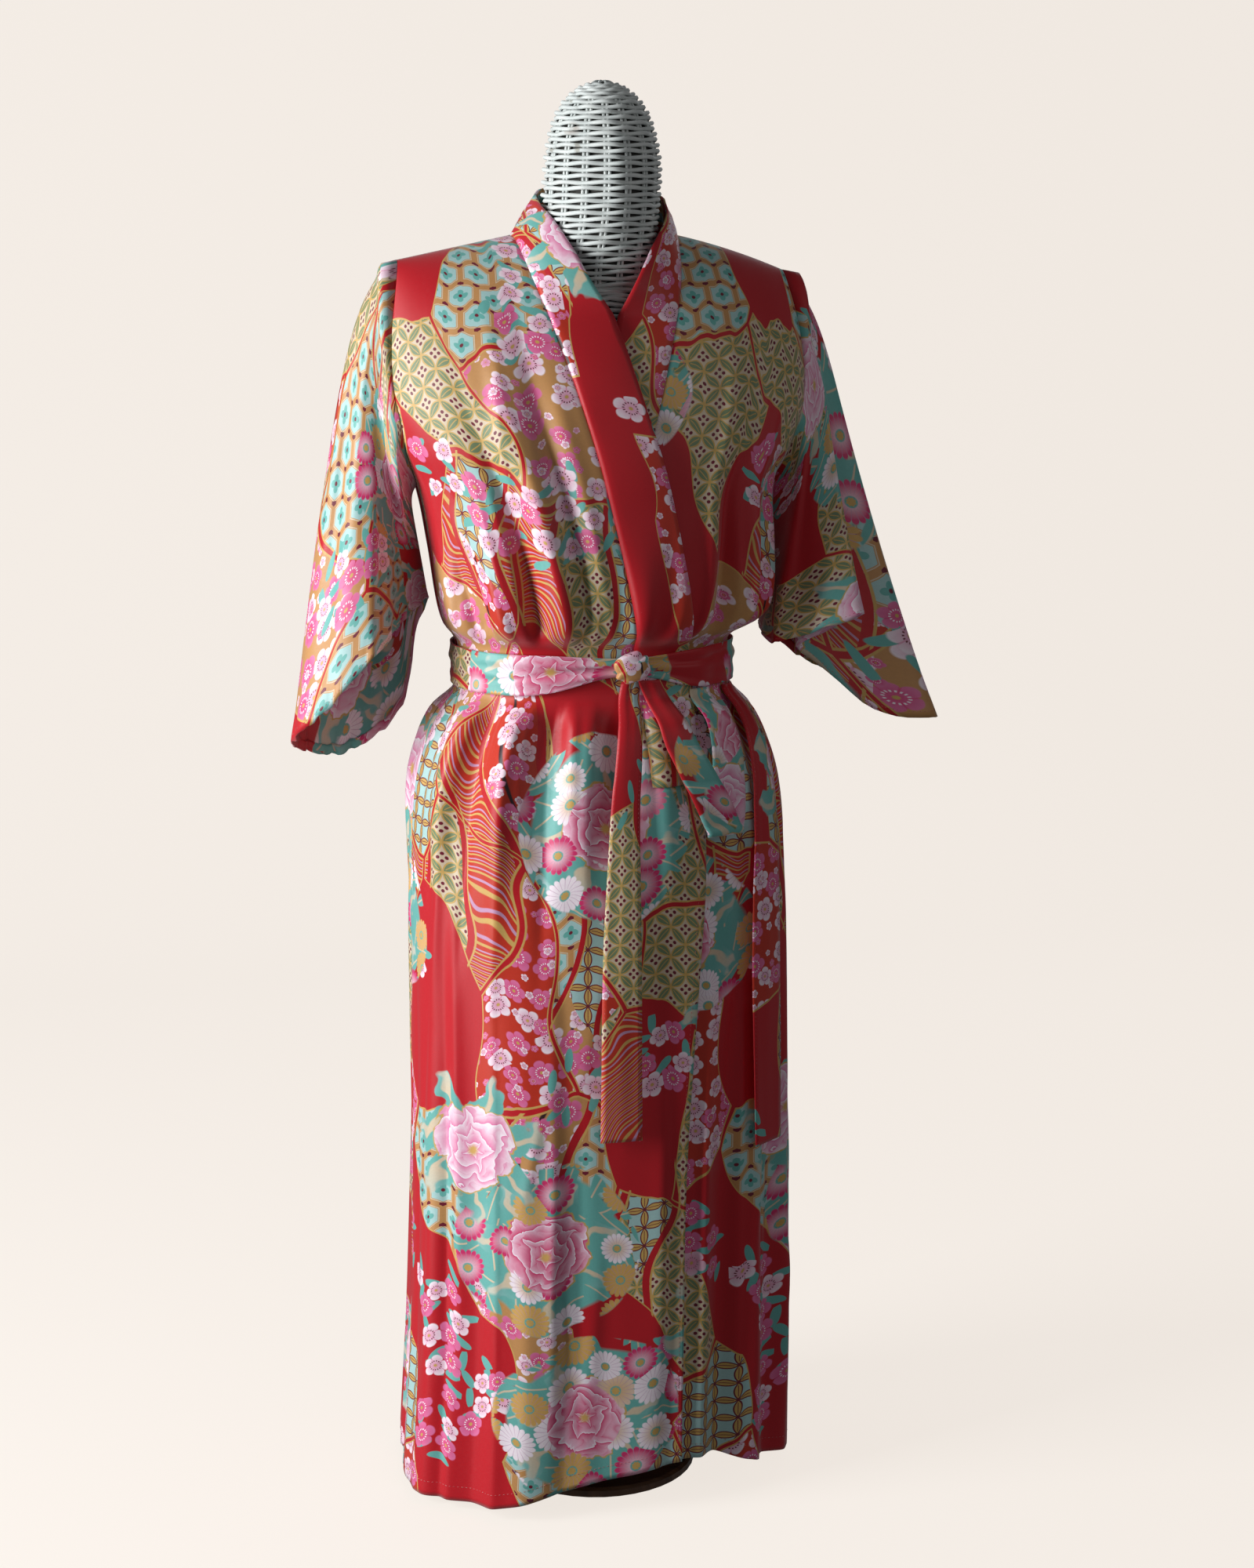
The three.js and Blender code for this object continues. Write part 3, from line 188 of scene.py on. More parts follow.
# finer creases of the cloth, laid one by one on the fronts
fineCreases = columns(foldNames, [
    (-33, -22, 1250, 900, 2, 2.2, 0.62), (-20, -12, 1200, 900, -1.8, 2, 0.66),
    (-47, -31, 1190, 900, 2.4, 2.4, 0.7), (-51, -34, 1090, 900, -2.2, 1.9, 0.74),
    (-61, -44, 1110, 900, 2.2, 2.2, 0.7), (-71, -57, 1080, 900, -2.4, 2.2, 0.74),
    (-12, -8, 1080, 900, 2.2, 1.8, 0.76), (-3, -1, 1050, 900, -2, 1.8, 0.74), (8, 7, 1040, 900, -2.2, 2, 0.72),
    (16, 13, 1030, 900, 2, 2, 0.74), (24, 22, 1060, 900, -2, 2.4, 0.72), (39, 40, 1150, 900, 2.4, 2, 0.72),
    (52, 50, 1120, 900, -2.4, 2, 0.74), (64, 61, 1110, 900, 2.4, 2.2, 0.7), (80, 75, 1100, 900, -2.4, 2.6, 0.7),
    (-18, -17, 890, 760, -2.4, 1.7, 0.24), (-30, -31, 890, 740, 2.2, 2, 0.26),
    (-42, -46, 890, 750, -2.4, 2, 0.26), (-55, -60, 890, 730, 2.2, 2, 0.28),
    (-69, -73, 890, 745, -2.6, 2.2, 0.26), (-7, -8, 890, 720, 2.2, 1.8, 0.26), (5, 4, 890, 735, 2.4, 1.8, 0.26),
    (17, 18, 890, 730, -2.2, 2, 0.26), (36, 37, 890, 740, -2.6, 2, 0.26), (48, 50, 890, 745, 2.4, 2, 0.26),
    (61, 64, 890, 730, -2.4, 2, 0.28), (78, 80, 890, 750, 2.4, 2.2, 0.26), (-56, -53, 690, 120, 1.8, 3, 0.4),
    (-38, -35, 640, 60, -1.6, 2.6, 0.45), (-20, -18, 600, 20, 1.5, 2.6, 0.5),
    (-12, -11, 520, -40, -1.4, 2.4, 0.5), (8, 8, 560, 0, 1.6, 2.8, 0.45), (19, 18, 620, -60, -1.6, 2.6, 0.5),
    (36, 35, 660, -60, 2.6, 2.2, 0.5), (49, 49, 640, 0, -2.2, 2.4, 0.45), (64, 64, 600, -40, 1.8, 2.8, 0.5),
    (84, 84, 690, -20, -1.8, 3.2, 0.45), (-82, -79, 640, 0, -1.8, 3.2, 0.5)])
mainFolds["out"] *= robe["foldGain"]
fineCreases["out"] *= robe["creaseGain"]


def seededCreases(settings):
    # short uneven creases all round, so that no two stretches of cloth hang alike
    draw = np.random.default_rng(settings["seed"])
    rows = []
    for low, high, lengths in settings["zones"]:
        for _ in range(settings["perZone"]):
            turn = draw.uniform(-180, 180)
            top = draw.uniform(low, high)
            length = draw.uniform(*lengths)
            out = draw.choice([-1, 1]) * draw.uniform(*settings["depth"])
            half = draw.uniform(*settings["half"])
            rows.append((turn, turn + draw.normal(0, settings["lean"]), top, top - length, out, half, 0.5))
    return columns(foldNames, rows)


smallCreases = seededCreases({
    "seed": 41, "perZone": 34, "depth": (0.5, 1.5), "half": (1.6, 3.6), "lean": 5.0,
    "zones": [(900, 1290, (90, 260)), (120, 480, (120, 320)), (420, 880, (110, 300))]})
smallCreases["out"] *= robe["smallGain"]


def foldOut(turn, z, tables=(mainFolds, drapes, fineCreases, smallCreases)):
    # how far the folds stand out of the plain form
    out = np.zeros(np.broadcast(turn, z).shape)
    for table in tables:
        for start, end, top, low, depth, half, swell in zip(*table.values()):
            along = (top - z) / (top - low)
            inside = np.clip(along, 1e-6, 1 - 1e-6)
            apart = wrapped(turn - mix(start, end, inside))
            rise = np.sin(np.pi * inside ** (math.log(0.5) / math.log(swell)))
            fall = np.exp(-(np.abs(apart / half) ** robe["tightness"]))
            out += np.where((along > 0) & (along < 1), depth * rise * fall, 0)
    return out * smooth(robe["pinchFrom"], robe["pinchTo"], np.abs(z - robe["belt"]))


def riseOf(level):
    return np.clip((level - robe["underarm"]) / (robe["neckPoint"] - robe["underarm"]), 0, 1)


def levelAt(rise):
    return robe["underarm"] + (robe["neckPoint"] - robe["underarm"]) * rise


def bodiceLevel(share):
    # rows of the bodice lie closer together towards the shoulder
    return levelAt(1 - (1 - share) ** robe["bodicePower"])


def narrowingAt(rise):
    return np.maximum(0, 1 - rise ** robe["roundness"]) ** (1 / robe["roundness"])


def depthAt(levels, inFront, level):
    return np.where(inFront, read(levels, "fore", level), read(levels, "back", level))


def shoulderHeight(x):
    tip = np.maximum(0, (x - robe["neckHalf"]) / (robe["shoulderTip"] - robe["neckHalf"]))
    return robe["neckPoint"] + (robe["neckHalf"] - np.abs(x)) * robe["shoulderSlope"] - robe["leftDrop"] * tip**2


def bodyPoint(turn, level, lift=0.0, levels=bodyLevels, folded=True, withNormal=False):
    turn, level = np.broadcast_arrays(np.asarray(turn, float), np.asarray(level, float))
    sine, cosine = np.sin(np.radians(turn)), np.cos(np.radians(turn))
    across = signedPower(sine, 2 / robe["squareness"])
    along = signedPower(cosine, 2 / robe["squareness"])
    rise = riseOf(level)
    wide = read(levels, "wide", level)
    deep = depthAt(levels, cosine > 0, level)
    narrowing = narrowingAt(rise)
    x = read(levels, "shift", level) + wide * across
    y = -deep * along * narrowing + robe["shoulderY"] * rise
    drawn = 0.0
    if folded:
        fade = 1 - smooth(robe["hem"], robe["hem"] + robe["hemWaveTall"], level)
        drawn = read(hemWave, "up", wrapped(turn), "turn") * fade
    high = robe["underarm"] + (shoulderHeight(x) - robe["underarm"]) * rise
    z = np.where(rise > 0, high, level + drawn)
    flat = narrowing ** (robe["roundness"] - 1)
    tall = robe["neckPoint"] - robe["underarm"]
    up = np.where(rise > 0, rise ** (robe["roundness"] - 1) / tall, 0)
    out = unit(np.stack([sine / wide * flat, -cosine / deep * flat, up], -1))
    push = lift + (foldOut(turn, level) if folded else 0)
    point = np.stack([x, y, z], -1) + out * np.asarray(push)[..., None]
    return (point, out) if withNormal else point


def turnAt(x, level):
    across = (x - read(bodyLevels, "shift", level)) / read(bodyLevels, "wide", level)
    return np.degrees(np.arcsin(np.clip(signedPower(across, robe["squareness"] / 2), -1, 1)))


def sideTurn(level):
    opened = np.minimum(1, riseOf(level) / robe["armholeOpens"])
    return 90 - (90 - robe["armholeTurn"]) * np.sin(opened * np.pi / 2)


def liftOf(side, ownTurn, level):
    if side > 0:
        return np.zeros(np.broadcast(ownTurn, level).shape)
    fade = (1 - smooth(*robe["layerFade"], ownTurn)) * (1 - smooth(*robe["layerTop"], level))
    return robe["layerLift"] * fade


def degreeReach(level):
    # the length of one degree round the side
    return read(bodyLevels, "wide", level) * np.pi / 180


def dipAt(distance):
    # cloth sinks a little where it is sewn
    return robe["seamDip"] * np.exp(-((distance / robe["seamHalf"]) ** 2))


# distance round the hips from the middle of the front: the cut cloth's own width there
hipTurns = np.arange(-180, 541, 1.0)
hipAlong = lengthAlong(bodyPoint(hipTurns, robe["hipLevel"], 0, bodyLevels, False))
hipAlong -= np.interp(0, hipTurns, hipAlong)


def spread(stops, step):
    # heights at about one step apart that keep every stop
    rows = [stops[0]]
    for a, b in zip(stops, stops[1:]):
        count = max(1, round(abs(b - a) / step))
        rows += [a + (b - a) * (i + 1) / count for i in range(count)]
    return np.array(rows, float)


fine = 5.2
lowerRows = spread([robe["hem"], 160, 450, 660, robe["bandEnd"], 850, 871, robe["belt"], 921, 936, 1000,
                    robe["underarm"]], fine)
upperRows = bodiceLevel(np.linspace(0, 1, int(robe["bodiceTall"] / fine))[1:])
bodyRows = np.concatenate([lowerRows, upperRows])
hemRows = robe["hem"] + np.arange(robe["hemTurn"], -1, -3.5)  # the hem is turned up inside
allRows = np.concatenate([hemRows, bodyRows])
turnedUp = np.arange(len(allRows)) < len(hemRows)


def bodyCut(turn, grid):
    # each point's place in the cut cloth: round the hips, and down its column from the belt
    step = np.linalg.norm(np.diff(grid, axis=0), axis=2)
    along = np.concatenate([np.zeros((1, grid.shape[1])), np.cumsum(step, axis=0)])
    down = along - along[int(np.argmin(np.abs(allRows - robe["belt"])))]
    return np.stack([np.interp(turn, hipTurns, hipAlong) * mm, down * mm], -1)


def newObject(name, points, faces, material, uvs=None):
    mesh = bpy.data.meshes.new(name)
    mesh.from_pydata((np.asarray(points) * mm).tolist(), [], faces)
    mesh.polygons.foreach_set("use_smooth", np.ones(len(mesh.polygons), bool))
    if uvs is not None:
        layer = mesh.uv_layers.new(name="cut")
        layer.data.foreach_set("uv", np.asarray(uvs, np.float32).ravel())
    mesh.materials.append(material)
    mesh.update()
    obj = bpy.data.objects.new(name, mesh)
    scene.collection.objects.link(obj)
    return obj


def clothPiece(name, grid, cut, material, wall, nodes, keep=None, closed=False):
    # a grid of points with its place in the cut cloth becomes a thin shell
    rows, cols = grid.shape[:2]
    index = np.arange(rows * cols).reshape(rows, cols)
    wide = cols if closed else cols - 1
    right = (np.arange(wide) + 1) % cols
    quads = np.stack([index[:-1, :wide], index[:-1][:, right], index[1:][:, right], index[1:, :wide]], -1)
    if closed:
        cut = closedRound(cut)
        cut[:, -1, 0] = cut[:, -2, 0] + (cut[:, -2, 0] - cut[:, -3, 0])
    corners = np.stack([cut[:-1, :wide], cut[:-1, 1:wide + 1], cut[1:, 1:wide + 1], cut[1:, :wide]], -2)
    use = np.ones(quads.shape[:2], bool) if keep is None else keep[:rows - 1, :wide]
    quads, corners = quads[use], corners[use]
    used = np.unique(quads)
    place = np.full(rows * cols, -1)
    place[used] = np.arange(len(used))
    obj = newObject(name, grid.reshape(-1, 3)[used], place[quads].tolist(), material, corners.reshape(-1, 2))
    shell = obj.modifiers.new("wall", "SOLIDIFY")
    shell.thickness = wall * mm
    shell.offset = 0
    shell.use_even_offset = False
    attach(obj, "root")
    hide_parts(*nodes)
    return obj


def areaOf(grid, keep=None):
    a, b, c, d = grid[:-1, :-1], grid[:-1, 1:], grid[1:, 1:], grid[1:, :-1]
    halves = (np.linalg.norm(np.cross(one, two), axis=-1) for one, two in ((b - a, c - a), (c - a, d - a)))
    area = sum(halves) / 2
    return float((area if keep is None else area * keep[:area.shape[0], :area.shape[1]]).sum()) * 1e-6


def srgb(red, green, blue):
    linear = (((v / 255 + 0.055) / 1.055) ** 2.4 if v > 10 else v / 255 / 12.92 for v in (red, green, blue))
    return (*linear, 1.0)


def newMaterial(name):
    material = bpy.data.materials.new(name)
    material.use_nodes = True
    return material, material.node_tree, material.node_tree.nodes["Principled BSDF"]


def feed(tree, node, given):
    # links a node's inputs, or sets them
    for key, value in given.items():
        value = getattr(value, "socket", value)
        if isinstance(value, bpy.types.NodeSocket):
            tree.links.new(value, node.inputs[key])
        else:
            node.inputs[key].default_value = value


def addNode(tree, kind, given, **settings):
    node = tree.nodes.new(kind)
    for key, value in settings.items():
        setattr(node, key, value)
    feed(tree, node, given)
    return node


class Wire:
    # a value in a material's nodes that can be reckoned with
    def __init__(self, tree, socket):
        self.tree, self.socket = tree, socket

    def do(self, operation, *values, clamp=False):
        given = dict(enumerate(values))
        node = addNode(self.tree, "ShaderNodeMath", given, operation=operation, use_clamp=clamp)
        return Wire(self.tree, node.outputs[0])

    def below(self, limit, soft=0.02):
        # 1 where the value is under the limit, with a soft edge
        if isinstance(limit, Wire):
            return self.do("MULTIPLY_ADD", limit - self, 1 / soft, 0.5, clamp=True)
        return self.do("MULTIPLY_ADD", self, -1 / soft, limit / soft + 0.5, clamp=True)

    def over(self, limit, soft=0.02):
        return self.do("MULTIPLY_ADD", self, 1 / soft, 0.5 - limit / soft, clamp=True)


def wireMethod(operation, turned):
    def method(self, *others):
        return self.do(operation, *((*others, self) if turned else (self, *others)))
    return method


for methodName, operation in {
        "__add__": "ADD", "__sub__": "SUBTRACT", "__mul__": "MULTIPLY", "__truediv__": "DIVIDE",
        "__radd__": "ADD", "__rsub__": "SUBTRACT", "size": "ABSOLUTE", "sine": "SINE", "cosine": "COSINE",
        "floor": "FLOOR", "part": "FRACT", "power": "POWER", "least": "MINIMUM", "most": "MAXIMUM",
        "fold": "PINGPONG"}.items():
    setattr(Wire, methodName, wireMethod(operation, methodName.startswith("__r")))


def lengthOf(x, y):
    return (x * x + y * y).power(0.5)


def angleOf(x, y):
    return x.do("ARCTAN2", y, x)


def vectorOf(x, y):
    return addNode(x.tree, "ShaderNodeCombineXYZ", {0: x, 1: y}).outputs[0]


def splitOf(tree, socket, kind="ShaderNodeSeparateColor"):
    return [Wire(tree, out) for out in addNode(tree, kind, {0: socket}).outputs]


def paint(mask, colour, below):
    # lays a colour over another through a mask
    return addNode(mask.tree, "ShaderNodeMix", {0: mask, 6: below, 7: colour}, data_type="RGBA").outputs[2]


def noiseOf(x, y, scale, detail=1.0, coloured=False):
    node = addNode(x.tree, "ShaderNodeTexNoise", {"Scale": scale, "Detail": detail, "Vector": vectorOf(x, y)},
                   noise_dimensions="2D")
    return splitOf(x.tree, node.outputs["Color"]) if coloured else Wire(x.tree, node.outputs[0])


def scatter(x, y, pitch, loose, shift=(0.0, 0.0)):
    # one spot in each cell of a loose grid: the way from the spot, and three chance values
    x, y = x + shift[0], y + shift[1]
    node = addNode(x.tree, "ShaderNodeTexVoronoi", {
        "Scale": 1 / pitch, "Randomness": loose, "Vector": vectorOf(x, y)}, voronoi_dimensions="2D")
    spot = splitOf(x.tree, node.outputs["Position"], "ShaderNodeSeparateXYZ")
    return x - spot[0], y - spot[1], splitOf(x.tree, node.outputs["Color"])


def bumped(tree, height, strength, distance):
    given = {"Strength": strength, "Distance": distance, "Height": height}
    return addNode(tree, "ShaderNodeBump", given).outputs[0]


inks = {
    "red": srgb(190, 8, 26), "vermilion": srgb(196, 46, 22), "gold": srgb(206, 166, 92), "tan": srgb(196, 142, 86),
    "cream": srgb(214, 194, 166), "sage": srgb(118, 136, 100), "teal": srgb(104, 176, 168),
    "sky": srgb(170, 206, 204), "maroon": srgb(112, 16, 42), "pink": srgb(226, 118, 166),
    "hotPink": srgb(214, 46, 108), "blush": srgb(246, 208, 226), "white": srgb(250, 236, 244),
    "brown": srgb(48, 20, 26), "lilac": srgb(196, 148, 182), "amber": srgb(216, 170, 96),
}
# the print's sizes in metres, and the shares of its kinds between 0 and 1
printPlan = {
    "drift": 0.09, "looseness": 0.95, "patches": 0.66, "bands": 0.30, "bandWide": 0.052, "bandGap": 0.13,
    "ringsAt": 0.25, "hexagonsAt": 0.40, "waterAt": 0.57, "blossomAt": 0.66, "tanAt": 0.88, "sharp": 0.001,
    "rings": 0.0158, "slantedRings": 0.0140, "hexagon": 0.031, "goldLine": 0.021, "wholeTurn": 6.3,
    "sprayDrifts": 8.5, "bouquets": 0.30, "bouquetReach": 0.092, "bouquetShare": 0.60, "weave": 0.0011,
}


def linkedRings(x, y, radius, petal, line, star, dots):
    # circles that overlap by quarters leave petals between stars
    a, b = (x * (1 / radius)).fold(1.0), (y * (1 / radius)).fold(1.0)
    near, far = lengthOf(a, b), lengthOf(1 - a, 1 - b)
    rim = near.most(far)
    colour = paint(rim.below(1.0, 0.03), inks[petal], inks[star])
    colour = paint((rim - 0.965).size().below(0.042, 0.02), inks[line], colour)
    colour = paint(((a + b - 1).size() + rim.over(0.86, 0.02)).below(0.035, 0.02), inks[line], colour)
    s, t = a.least(1 - a), b.least(1 - b)
    dot = lengthOf(s - 0.25, t).least(lengthOf(s, t - 0.25))
    return paint((dot + near.least(far).over(0.5, 0.02)).below(0.115, 0.03), inks[dots], colour)


def hexagons(x, y, wide):
    # tortoiseshell: six-sided cells with a broad double line and a small flower in each
    px, py = x * (1 / wide), y * (1 / wide / 1.732)
    ax, ay = px.part() - 0.5, (py.part() - 0.5) * 1.732
    bx, by = (px + 0.5).part() - 0.5, ((py + 0.5).part() - 0.5) * 1.732
    first = ax.do("LESS_THAN", ax * ax + ay * ay, bx * bx + by * by)
    gx, gy = bx + (ax - bx) * first, by + (ay - by) * first
    sx, sy = gx.size(), gy.size()
    rim = sx.most(sx * 0.5 + sy * 0.866)
    petal = (angleOf(gx, gy) * 2).cosine().size() * 0.11 + 0.13
    away = lengthOf(gx, gy)
    colour = paint(away.below(petal, 0.02), inks["teal"], inks["sky"])
    colour = paint(away.below(0.06, 0.02), inks["maroon"], colour)
    colour = paint(rim.over(0.36, 0.015), inks["tan"], colour)
    colour = paint((rim - 0.395).size().below(0.014, 0.01), inks["cream"], colour)
    corner = sx.below(0.10, 0.01) * sy.over(0.44, 0.01)
    return paint(corner, inks["maroon"], colour)


def runningWater(x, y):
    lines = (x * 60 + y * 95 + noiseOf(x, y * 0.7, 17, 0.0) * 7).part()
    colour = paint((lines - 0.3).size().below(0.10, 0.04), inks["gold"], inks["vermilion"])
    return paint((lines - 0.72).size().below(0.08, 0.04), inks["lilac"], colour)


def roundBlossom(x, y, pitch, radius, below, loose, shift=(0.0, 0.0), drifts=None, pinkShare=0.5):
    # five-petalled plum or cherry blossom, white or pink; whole blossoms show where the drifts say so
    dx, dy, chance = scatter(x, y, pitch, loose, shift)
    away = lengthOf(dx, dy) * (1 / radius) / (chance[1] * 0.35 + 0.75)
    angle = angleOf(dx, dy) + chance[2] * printPlan["wholeTurn"]
    lobes = (angle * 2.5).cosine().size()
    shown = (away / (lobes.power(0.5) * 0.34 + 0.66)).below(1.0, 0.10)
    if drifts:
        shown = shown * noiseOf(x - dx, y - dy, drifts[0], 0.0).over(drifts[1], 0.002)
    isPink = chance[0].below(pinkShare, 0.02)
    body = paint(isPink, inks["pink"], inks["white"])
    heart = paint(isPink, inks["hotPink"], inks["pink"])
    colour = paint(away.below(0.55, 0.9) * 0.75, heart, body)
    colour = paint((lobes + away.below(0.25, 0.1)).below(0.16, 0.14) * 0.6, heart, colour)
    rays = (angle * 15).cosine().over(0.1, 0.5) * (away - 0.42).size().below(0.06, 0.05)
    colour = paint(rays * isPink, inks["white"], colour)
    colour = paint(rays * (1 - isPink), inks["maroon"], colour)
    colour = paint(away.below(0.13, 0.06), inks["gold"], colour)
    return paint(shown, colour, below)


def daisy(x, y, pitch, radius, below, showing, shift):
    # many-petalled chrysanthemum
    dx, dy, chance = scatter(x, y, pitch, 0.7, shift)
    away = lengthOf(dx, dy) * (1 / radius) / (chance[1] * 0.3 + 0.8)
    angle = angleOf(dx, dy) + chance[2] * 3
    ribs = (angle * 9).cosine().size()
    shown = (away / (ribs.power(0.6) * 0.2 + 0.8)).below(1.0, 0.08) * showing
    tint = paint(chance[0].below(0.33, 0.02), inks["hotPink"], inks["white"])
    tint = paint(chance[0].over(0.80, 0.02), inks["amber"], tint)
    heart = paint(chance[0].below(0.6, 0.02), inks["white"], inks["amber"])
    colour = paint(away.below(0.45, 0.7) * 0.8, heart, tint)
    colour = paint((ribs + away.below(0.3, 0.1)).below(0.22, 0.16) * 0.55, inks["lilac"], colour)
    colour = paint(away.below(0.27, 0.06), inks["teal"], colour)
    colour = paint((away + (angle * 8).cosine() * 0.02).below(0.19, 0.04), inks["gold"], colour)
    return paint(shown, colour, below)


def peony(x, y, pitch, radius, below, pale, rich, shift, share):
    # large layered flower over pointed leaves
    dx, dy, chance = scatter(x, y, pitch, 0.55, shift)
    stray = noiseOf(x, y, 38, coloured=True)
    away = lengthOf(dx, dy) * (1 / radius)
    angle = angleOf(dx, dy) + chance[2] * printPlan["wholeTurn"]
    here = chance[0].below(share, 0.0004)
    leafWave = (angle * 3.5 + stray[0] * 2).cosine().size()
    leaf = away / (leafWave.power(2.2) * 0.66 + 1.0) + (angle * 17).cosine().size() * 0.04
    leafTint = paint(leafWave.over(0.97, 0.03), inks["cream"], inks["teal"])
    leafTint = paint((away * 0.6).over(0.85, 0.3) * 0.5, inks["sky"], leafTint)
    colour = paint(leaf.below(1.0, 0.05) * here, leafTint, below)
    bent = angle + (stray[1] - 0.5) * 1.5
    edge = away / ((bent * 3.5).cosine().size() * 0.13 + (bent * 12).cosine().size() * 0.03 + 0.84)
    layers = edge * 3.4 + (stray[2] - 0.5) * 1.4
    scallop = (bent * 2.5 + layers.floor() * 2.3).sine().size().power(0.6)
    inner = (layers + scallop * 0.7).part()
    petals = paint(inner.over(0.42, 1.0), inks[pale], inks[rich])
    petals = paint(away.below(0.55, 0.9) * 0.35, inks[rich], petals)
    petals = paint((inner - 0.95).size().below(0.045, 0.05) * 0.8, inks["white"], petals)
    petals = paint(inner.below(0.06, 0.08) * 0.7, inks[rich], petals)
    petals = paint((edge + stray[0] * 0.1).below(0.16, 0.1), inks["amber"], petals)
    colour = paint((edge - 1.0).size().below(0.022, 0.02) * here, inks["gold"], colour)
    return paint(edge.below(0.985, 0.02) * here, petals, colour), away


def leafOf(dx, dy, chance, long, wide):
    # a pointed leaf turned by chance: 1 at its edge, and the way from its midrib
    turn = chance[2] * printPlan["wholeTurn"]
    lx, ly = dx * turn.cosine() + dy * turn.sine(), dy * turn.cosine() - dx * turn.sine()
    return lengthOf(lx * (1 / long), ly * (1 / wide)), ly


def printedCloth():
    plan, sharp = printPlan, printPlan["sharp"]
    material, tree, shader = newMaterial("robePrint")
    cutMap = addNode(tree, "ShaderNodeUVMap", {}, uv_map="cut")
    u, v = splitOf(tree, cutMap.outputs[0], "ShaderNodeSeparateXYZ")[:2]
    drift = noiseOf(u, v, 5.0, coloured=True)
    x, y = u + (drift[0] - 0.5) * plan["drift"], v + (drift[1] - 0.5) * plan["drift"]

    # patches: slanted many-sided cells, some plain
    place = vectorOf(x * 9.5 + y * 2.6, y * 5.4 - x * 2.4)
    cells, rims = (addNode(tree, "ShaderNodeTexVoronoi", {
        "Scale": 1.0, "Randomness": plan["looseness"], "Vector": place}, voronoi_dimensions="2D", feature=feature)
        for feature in ("F1", "DISTANCE_TO_EDGE"))
    pick, kind = splitOf(tree, cells.outputs["Color"])[:2]
    rim = Wire(tree, rims.outputs["Distance"])

    # streamers: curved upright bands, cut across here and there
    across = (x + (y * 7.0).sine() * 0.030 + (y * 15 + 1).sine() * 0.010) * (1 / plan["bandWide"])
    band, share = across.floor(), across.part()
    lengths = vectorOf(band, (y * 2.9 + band * 0.37 + share * 0.22).floor())
    chanceNode = addNode(tree, "ShaderNodeTexWhiteNoise", {"Vector": lengths}, noise_dimensions="2D")
    bandKind = Wire(tree, chanceNode.outputs["Value"])
    inBand = pick.below(plan["bands"], 0.005)
    fill = kind + (bandKind - kind) * inBand

    cx, cy = (u + v) * 0.7071, (v - u) * 0.7071
    slanted = linkedRings(cx, cy, plan["slantedRings"], "gold", "maroon", "sky", "sky")
    colour = linkedRings(u, v, plan["rings"], "sage", "gold", "cream", "maroon")
    colour = paint(fill.over(plan["ringsAt"], sharp), slanted, colour)
    colour = paint(fill.over(plan["hexagonsAt"], sharp), hexagons(u, v, plan["hexagon"]), colour)
    colour = paint(fill.over(plan["waterAt"], sharp), runningWater(u, v), colour)
    ground = paint(fill.over(plan["tanAt"], sharp), inks["tan"], inks["vermilion"])
    stem = (share - 0.5 + (v * 24).sine() * 0.14).size().below(0.03, 0.02) * inBand
    ground = paint(stem, inks["brown"], ground)
    ground = roundBlossom(u, v, 0.028, 0.0132, ground, 0.65)
    ground = roundBlossom(u, v, 0.024, 0.0045, ground, 0.95, (0.4, 0.7), None, 0.25)
    colour = paint(fill.over(plan["blossomAt"], sharp), ground, colour)

    # where the patches and streamers show on the red ground, with a gold line round each
    gap = inBand * share.below(plan["bandGap"], 0.01)
    patch = pick.below(plan["patches"], sharp)
    bandLine = inBand * (share - (plan["bandGap"] + 0.02)).size().below(0.018, 0.01)
    lined = patch * ((rim - plan["goldLine"]).size().below(0.006, 0.004) + bandLine)
    cloth = paint(patch * rim.over(0.016, 0.004) * (1 - gap), colour, inks["red"])
    cloth = paint(lined.least(1.0), inks["gold"], cloth)

    # sprays of small blossom with leaves, then the large flowers
    dx, dy, chance = scatter(u, v, 0.024, 0.9, (0.31, 0.12))
    sprays = noiseOf(u - dx, v - dy, plan["sprayDrifts"], 0.0).over(0.655, 0.002)
    leaf = leafOf(dx, dy, chance, 0.0125, 0.0042)[0]
    cloth = paint(leaf.below(1.0, 0.12) * sprays, inks["teal"], cloth)
    cloth = roundBlossom(u, v, 0.029, 0.0140, cloth, 0.6, (0.11, 0.53), (plan["sprayDrifts"], 0.665), 0.35)
    dx, dy, chance = scatter(u, v, plan["bouquets"], 0.55, (0.05, 0.02))
    centre = lengthOf(dx, dy) + (drift[2] - 0.5) * 0.05
    bouquet = centre.below(plan["bouquetReach"], 0.002) * chance[0].below(plan["bouquetShare"], 0.0004)
    leaf, aside = leafOf(*scatter(u, v, 0.026, 0.9, (0.21, 0.42)), 0.019, 0.0075)
    leafTint = paint(aside.size().below(0.0009, 0.0006), inks["cream"], inks["teal"])
    cloth = paint((leaf.below(1.0, 0.12) + centre.below(0.078, 0.004)).least(1.0) * bouquet, leafTint, cloth)
    cloth, away = peony(u, v, plan["bouquets"], 0.047, cloth, "blush", "hotPink", (0.05, 0.02),
                        plan["bouquetShare"])
    cloth = daisy(u, v, 0.045, 0.0205, cloth, bouquet * away.over(0.80, 0.02), (0.7, 0.2))
    cloth = peony(u, v, plan["bouquets"], 0.049, cloth, "white", "pink", (0.128, -0.085), 0.42)[0]
    cloth = paint(noiseOf(u, v, 420).over(0.5, 0.5) * 0.05, inks["brown"], cloth)

